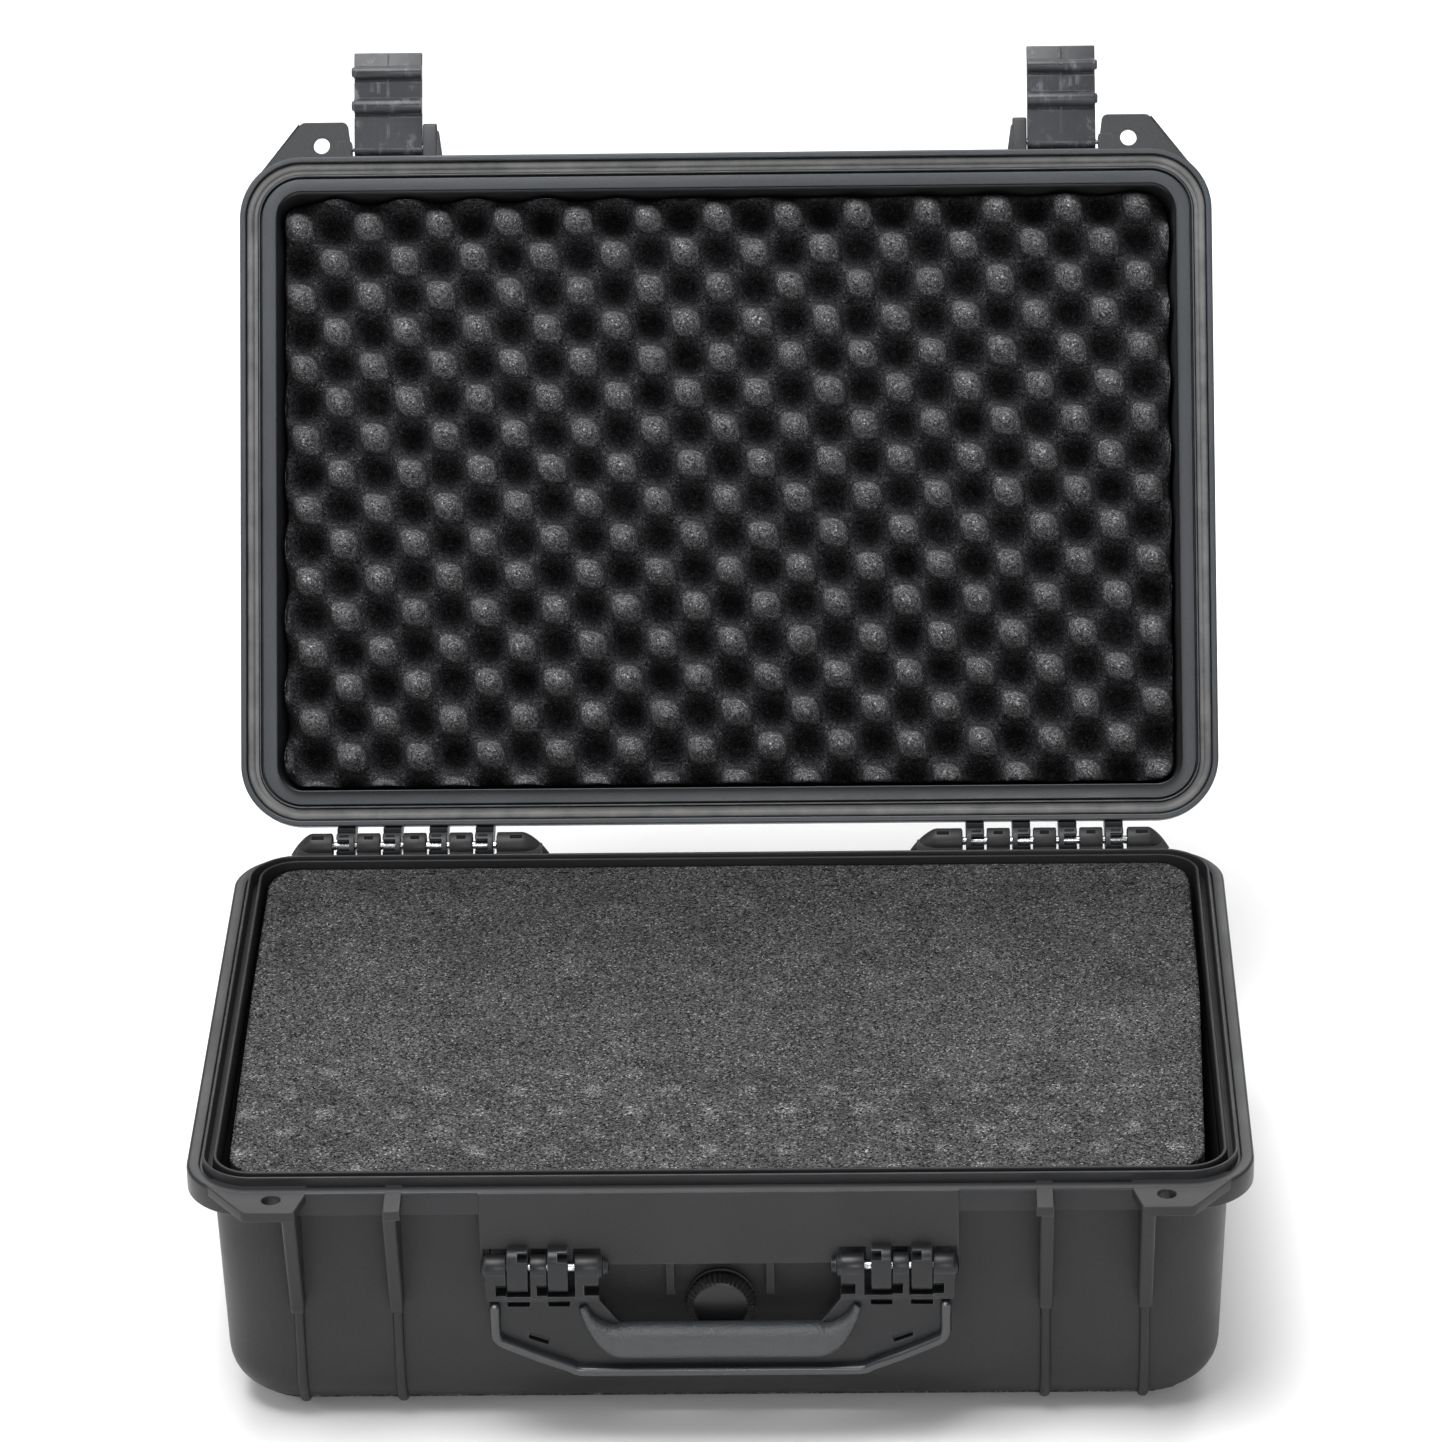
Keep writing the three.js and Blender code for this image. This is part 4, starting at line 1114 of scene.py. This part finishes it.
def foam_block(hx, hy, corner, bottom, height, cell=1.6, down=False):
    """A foam block whose broad face follows height(x, y), with rounded corners and ragged sides."""
    nx, ny = int(2 * hx / cell) | 1, int(2 * hy / cell) | 1
    points = rounded_grid(hx, hy, corner, np.linspace(-hx, hx, nx), np.linspace(-hy, hy, ny), height)
    faces = []
    for j in range(ny - 1):
        row = j * nx
        faces += [(row + i, row + i + 1, row + i + nx + 1, row + i + nx) for i in range(nx - 1)]
    border = grid_border(nx, ny)
    last, n = border, len(border)
    for drop in (0.35, 1.6, 5, 12, 22, None):
        ring = list(range(len(points), len(points) + n))
        for k in border:
            x, y, z = points[k]
            pull, level = 0, bottom
            if drop is not None:
                pull = 0.3 * rough(x, y, 0.4, drop)
                level = min(z + drop, bottom) if down else max(z - drop, bottom)
            if drop is not None and drop > 1:
                pull += 0.35 * math.sin(0.31 * x + 0.17 * y + drop)
            grow = 1 + (pull - 0.25) / max(hx, hy)
            points.append((x * grow, y * grow, level))
        faces += [(last[i], ring[i], ring[(i + 1) % n], last[(i + 1) % n]) for i in range(n)]
        last = ring
    faces.append(tuple(last))
    mesh = mesh_of(points, faces)
    fix_normals(mesh)
    return mesh


def add_foam(piece, mesh, material, body, node, opened=False):
    obj = add(piece, mesh, material, body, opened, sharp=180)
    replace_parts(obj, node)


def egg_crate(x, y):
    """Convoluted foam: two crossing waves, the first a little stronger, leave ridges on its line."""
    u = x + 1.1 * rough(x, y, 0.03, 3)
    v = y + 1.1 * rough(x, y, 0.03, 8)
    wave = 0.0
    for share, pitch, turn, start in EGG_WAVES:
        t = math.radians(turn)
        wave += share * math.cos(2 * math.pi * (u * math.cos(t) + v * math.sin(t)) / pitch + start)
    crest = min((0.5 + 0.5 * wave) ** 1.55 * 1.06, 0.985)
    ragged = 0.5 * rough(x, y, 0.12, 1) + 0.4 * rough(x, y, 0.5, 2)
    return CREST_Z + CREST_DEEP * (1 - crest) + ragged


def lid_foam():
    mesh = foam_block(214.3, 142.6, 9, LID_TOP - WALL - 0.3, egg_crate, cell=1.5, down=True)
    add_foam("egg_crate_lining", mesh, LID_FOAM, "lid", "lid_foam", True)


def pluck_surface(x, y, top):
    """A cut face, a little proud at the back, with faint bumps at the front and hair-thin cuts."""
    z = top - 0.25 + 0.22 * rough(x, y, 0.02, 5) + 0.16 * rough(x, y, 0.35, 6)
    z += 2.4 * min(max((y - 20) / 110, 0), 1)
    press = math.cos(2 * math.pi * (x + DIMPLE_AT[0]) / DIMPLE_PITCH[0])
    press *= math.cos(2 * math.pi * (y + DIMPLE_AT[1]) / DIMPLE_PITCH[1])
    fade = min(max((-35 - y) / 50, 0), 1)
    z += 0.4 * fade * max(press - 0.35, 0)
    for along in (x, y):
        d = abs((along + PLUCK_PITCH / 2) % PLUCK_PITCH - PLUCK_PITCH / 2)
        if d < 0.9 and rough(x, y, 0.09, 9) > 0.12:
            z -= 0.5 * (1 - d / 0.9)
    edge = min(217.3 - abs(x), 145.8 - abs(y))
    return z - 0.9 * math.exp(-max(edge, 0) / 1.3)


def pluck_foam():
    """The top block, a little narrower toward the front, more so at the right."""
    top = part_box("base_foam_pluck")[1].z / MM
    mesh = foam_block(218.2, 145.8, 20, 84.3, lambda x, y: pluck_surface(x, y, top))
    for v in mesh.vertices:
        forward = min(max((20 - v.co.y / MM) / 160, 0), 1)
        v.co.x *= 1 - forward * (0.023 if v.co.x > 0 else 0.009)
    add_foam("pluck_foam_block", mesh, BASE_FOAM, "base", "base_foam_pluck")


def under_foam(node, piece, inset_x, inset_y):
    """One of the plain blocks under the pluck foam, set in from its CAD block."""
    low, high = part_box(node)
    top = high.z / MM
    hx, hy = high.x / MM - inset_x, high.y / MM - inset_y
    mesh = foam_block(hx, hy, 22, low.z / MM, lambda x, y: top - 0.3 + 0.2 * rough(x, y, 0.05, 4), cell=6)
    add_foam(piece, mesh, BASE_FOAM, "base", node)


# ---- room, lights and camera
def stage():
    """A pale floor, a dim white world and four soft lights aimed at the case."""
    half = FLOOR_HALF
    mesh = mesh_of([(-half, -half, 0), (half, -half, 0), (half, half, 0), (-half, half, 0)], [(0, 1, 2, 3)])
    n = Nodes("pale_floor", 0.85, 0.2)
    n.set("Base Color", n.mix(n.noise(0.004, 3), (0.93, 0.93, 0.93), (0.96, 0.96, 0.96)))
    mesh.materials.append(n.material)
    floor = placed("floor", mesh)
    floor.location.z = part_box("base_shell")[0].z - FLOOR_GAP * MM
    world = bpy.data.worlds.new("studio")
    bpy.context.scene.world = world
    world.use_nodes = True
    background = world.node_tree.nodes["Background"]
    background.inputs["Color"].default_value = (1, 1, 1, 1)
    background.inputs["Strength"].default_value = WORLD_STRENGTH
    for name, place, size, power in LIGHTS:
        light = bpy.data.lights.new(name, "AREA")
        light.size = size
        light.energy = power
        lamp = placed(name, light)
        lamp.location = place
        lamp.rotation_mode = "QUATERNION"
        lamp.rotation_quaternion = (AIM - Vector(place)).to_track_quat("-Z", "Y")


def camera():
    """The camera's place, turn, tilt and roll, from a little above the open case."""
    yaw, pitch, roll = math.radians(YAW), math.radians(PITCH), math.radians(ROLL)
    level = Vector((-math.sin(yaw), math.cos(yaw), 0))
    side = Vector((math.cos(yaw), math.sin(yaw), 0))
    up_z = Vector((0, 0, 1))
    forward = level * math.cos(pitch) - up_z * math.sin(pitch)
    rise = level * math.sin(pitch) + up_z * math.cos(pitch)
    right = side * math.cos(roll) + rise * math.sin(roll)
    up = rise * math.cos(roll) - side * math.sin(roll)
    cam = placed("camera", bpy.data.cameras.new("camera"))
    cam.data.sensor_width = SENSOR
    cam.data.lens = LENS
    cam.data.clip_end = 30
    turn = Matrix((right, up, -forward)).transposed().to_4x4()
    cam.matrix_world = Matrix.Translation(EYE) @ turn
    bpy.context.scene.camera = cam


base_body()
base_rim()
base_front()
rear_ribs()
hinge_base()
apron()
fixed_knuckles()
pins()
valve_body()
valve_knob()
carry_handle()
lid_body()
lid_rim()
gasket()
lid_fittings()
for side in SIDES:
    latch(side)
lid_foam()
pluck_foam()
under_foam("base_foam_lower", "lower_foam_block", 6, 4.5)
under_foam("base_foam_pad", "floor_foam_pad", 1.5, 1.5)
stage()
camera()
bpy.context.scene.view_settings.view_transform = "Standard"
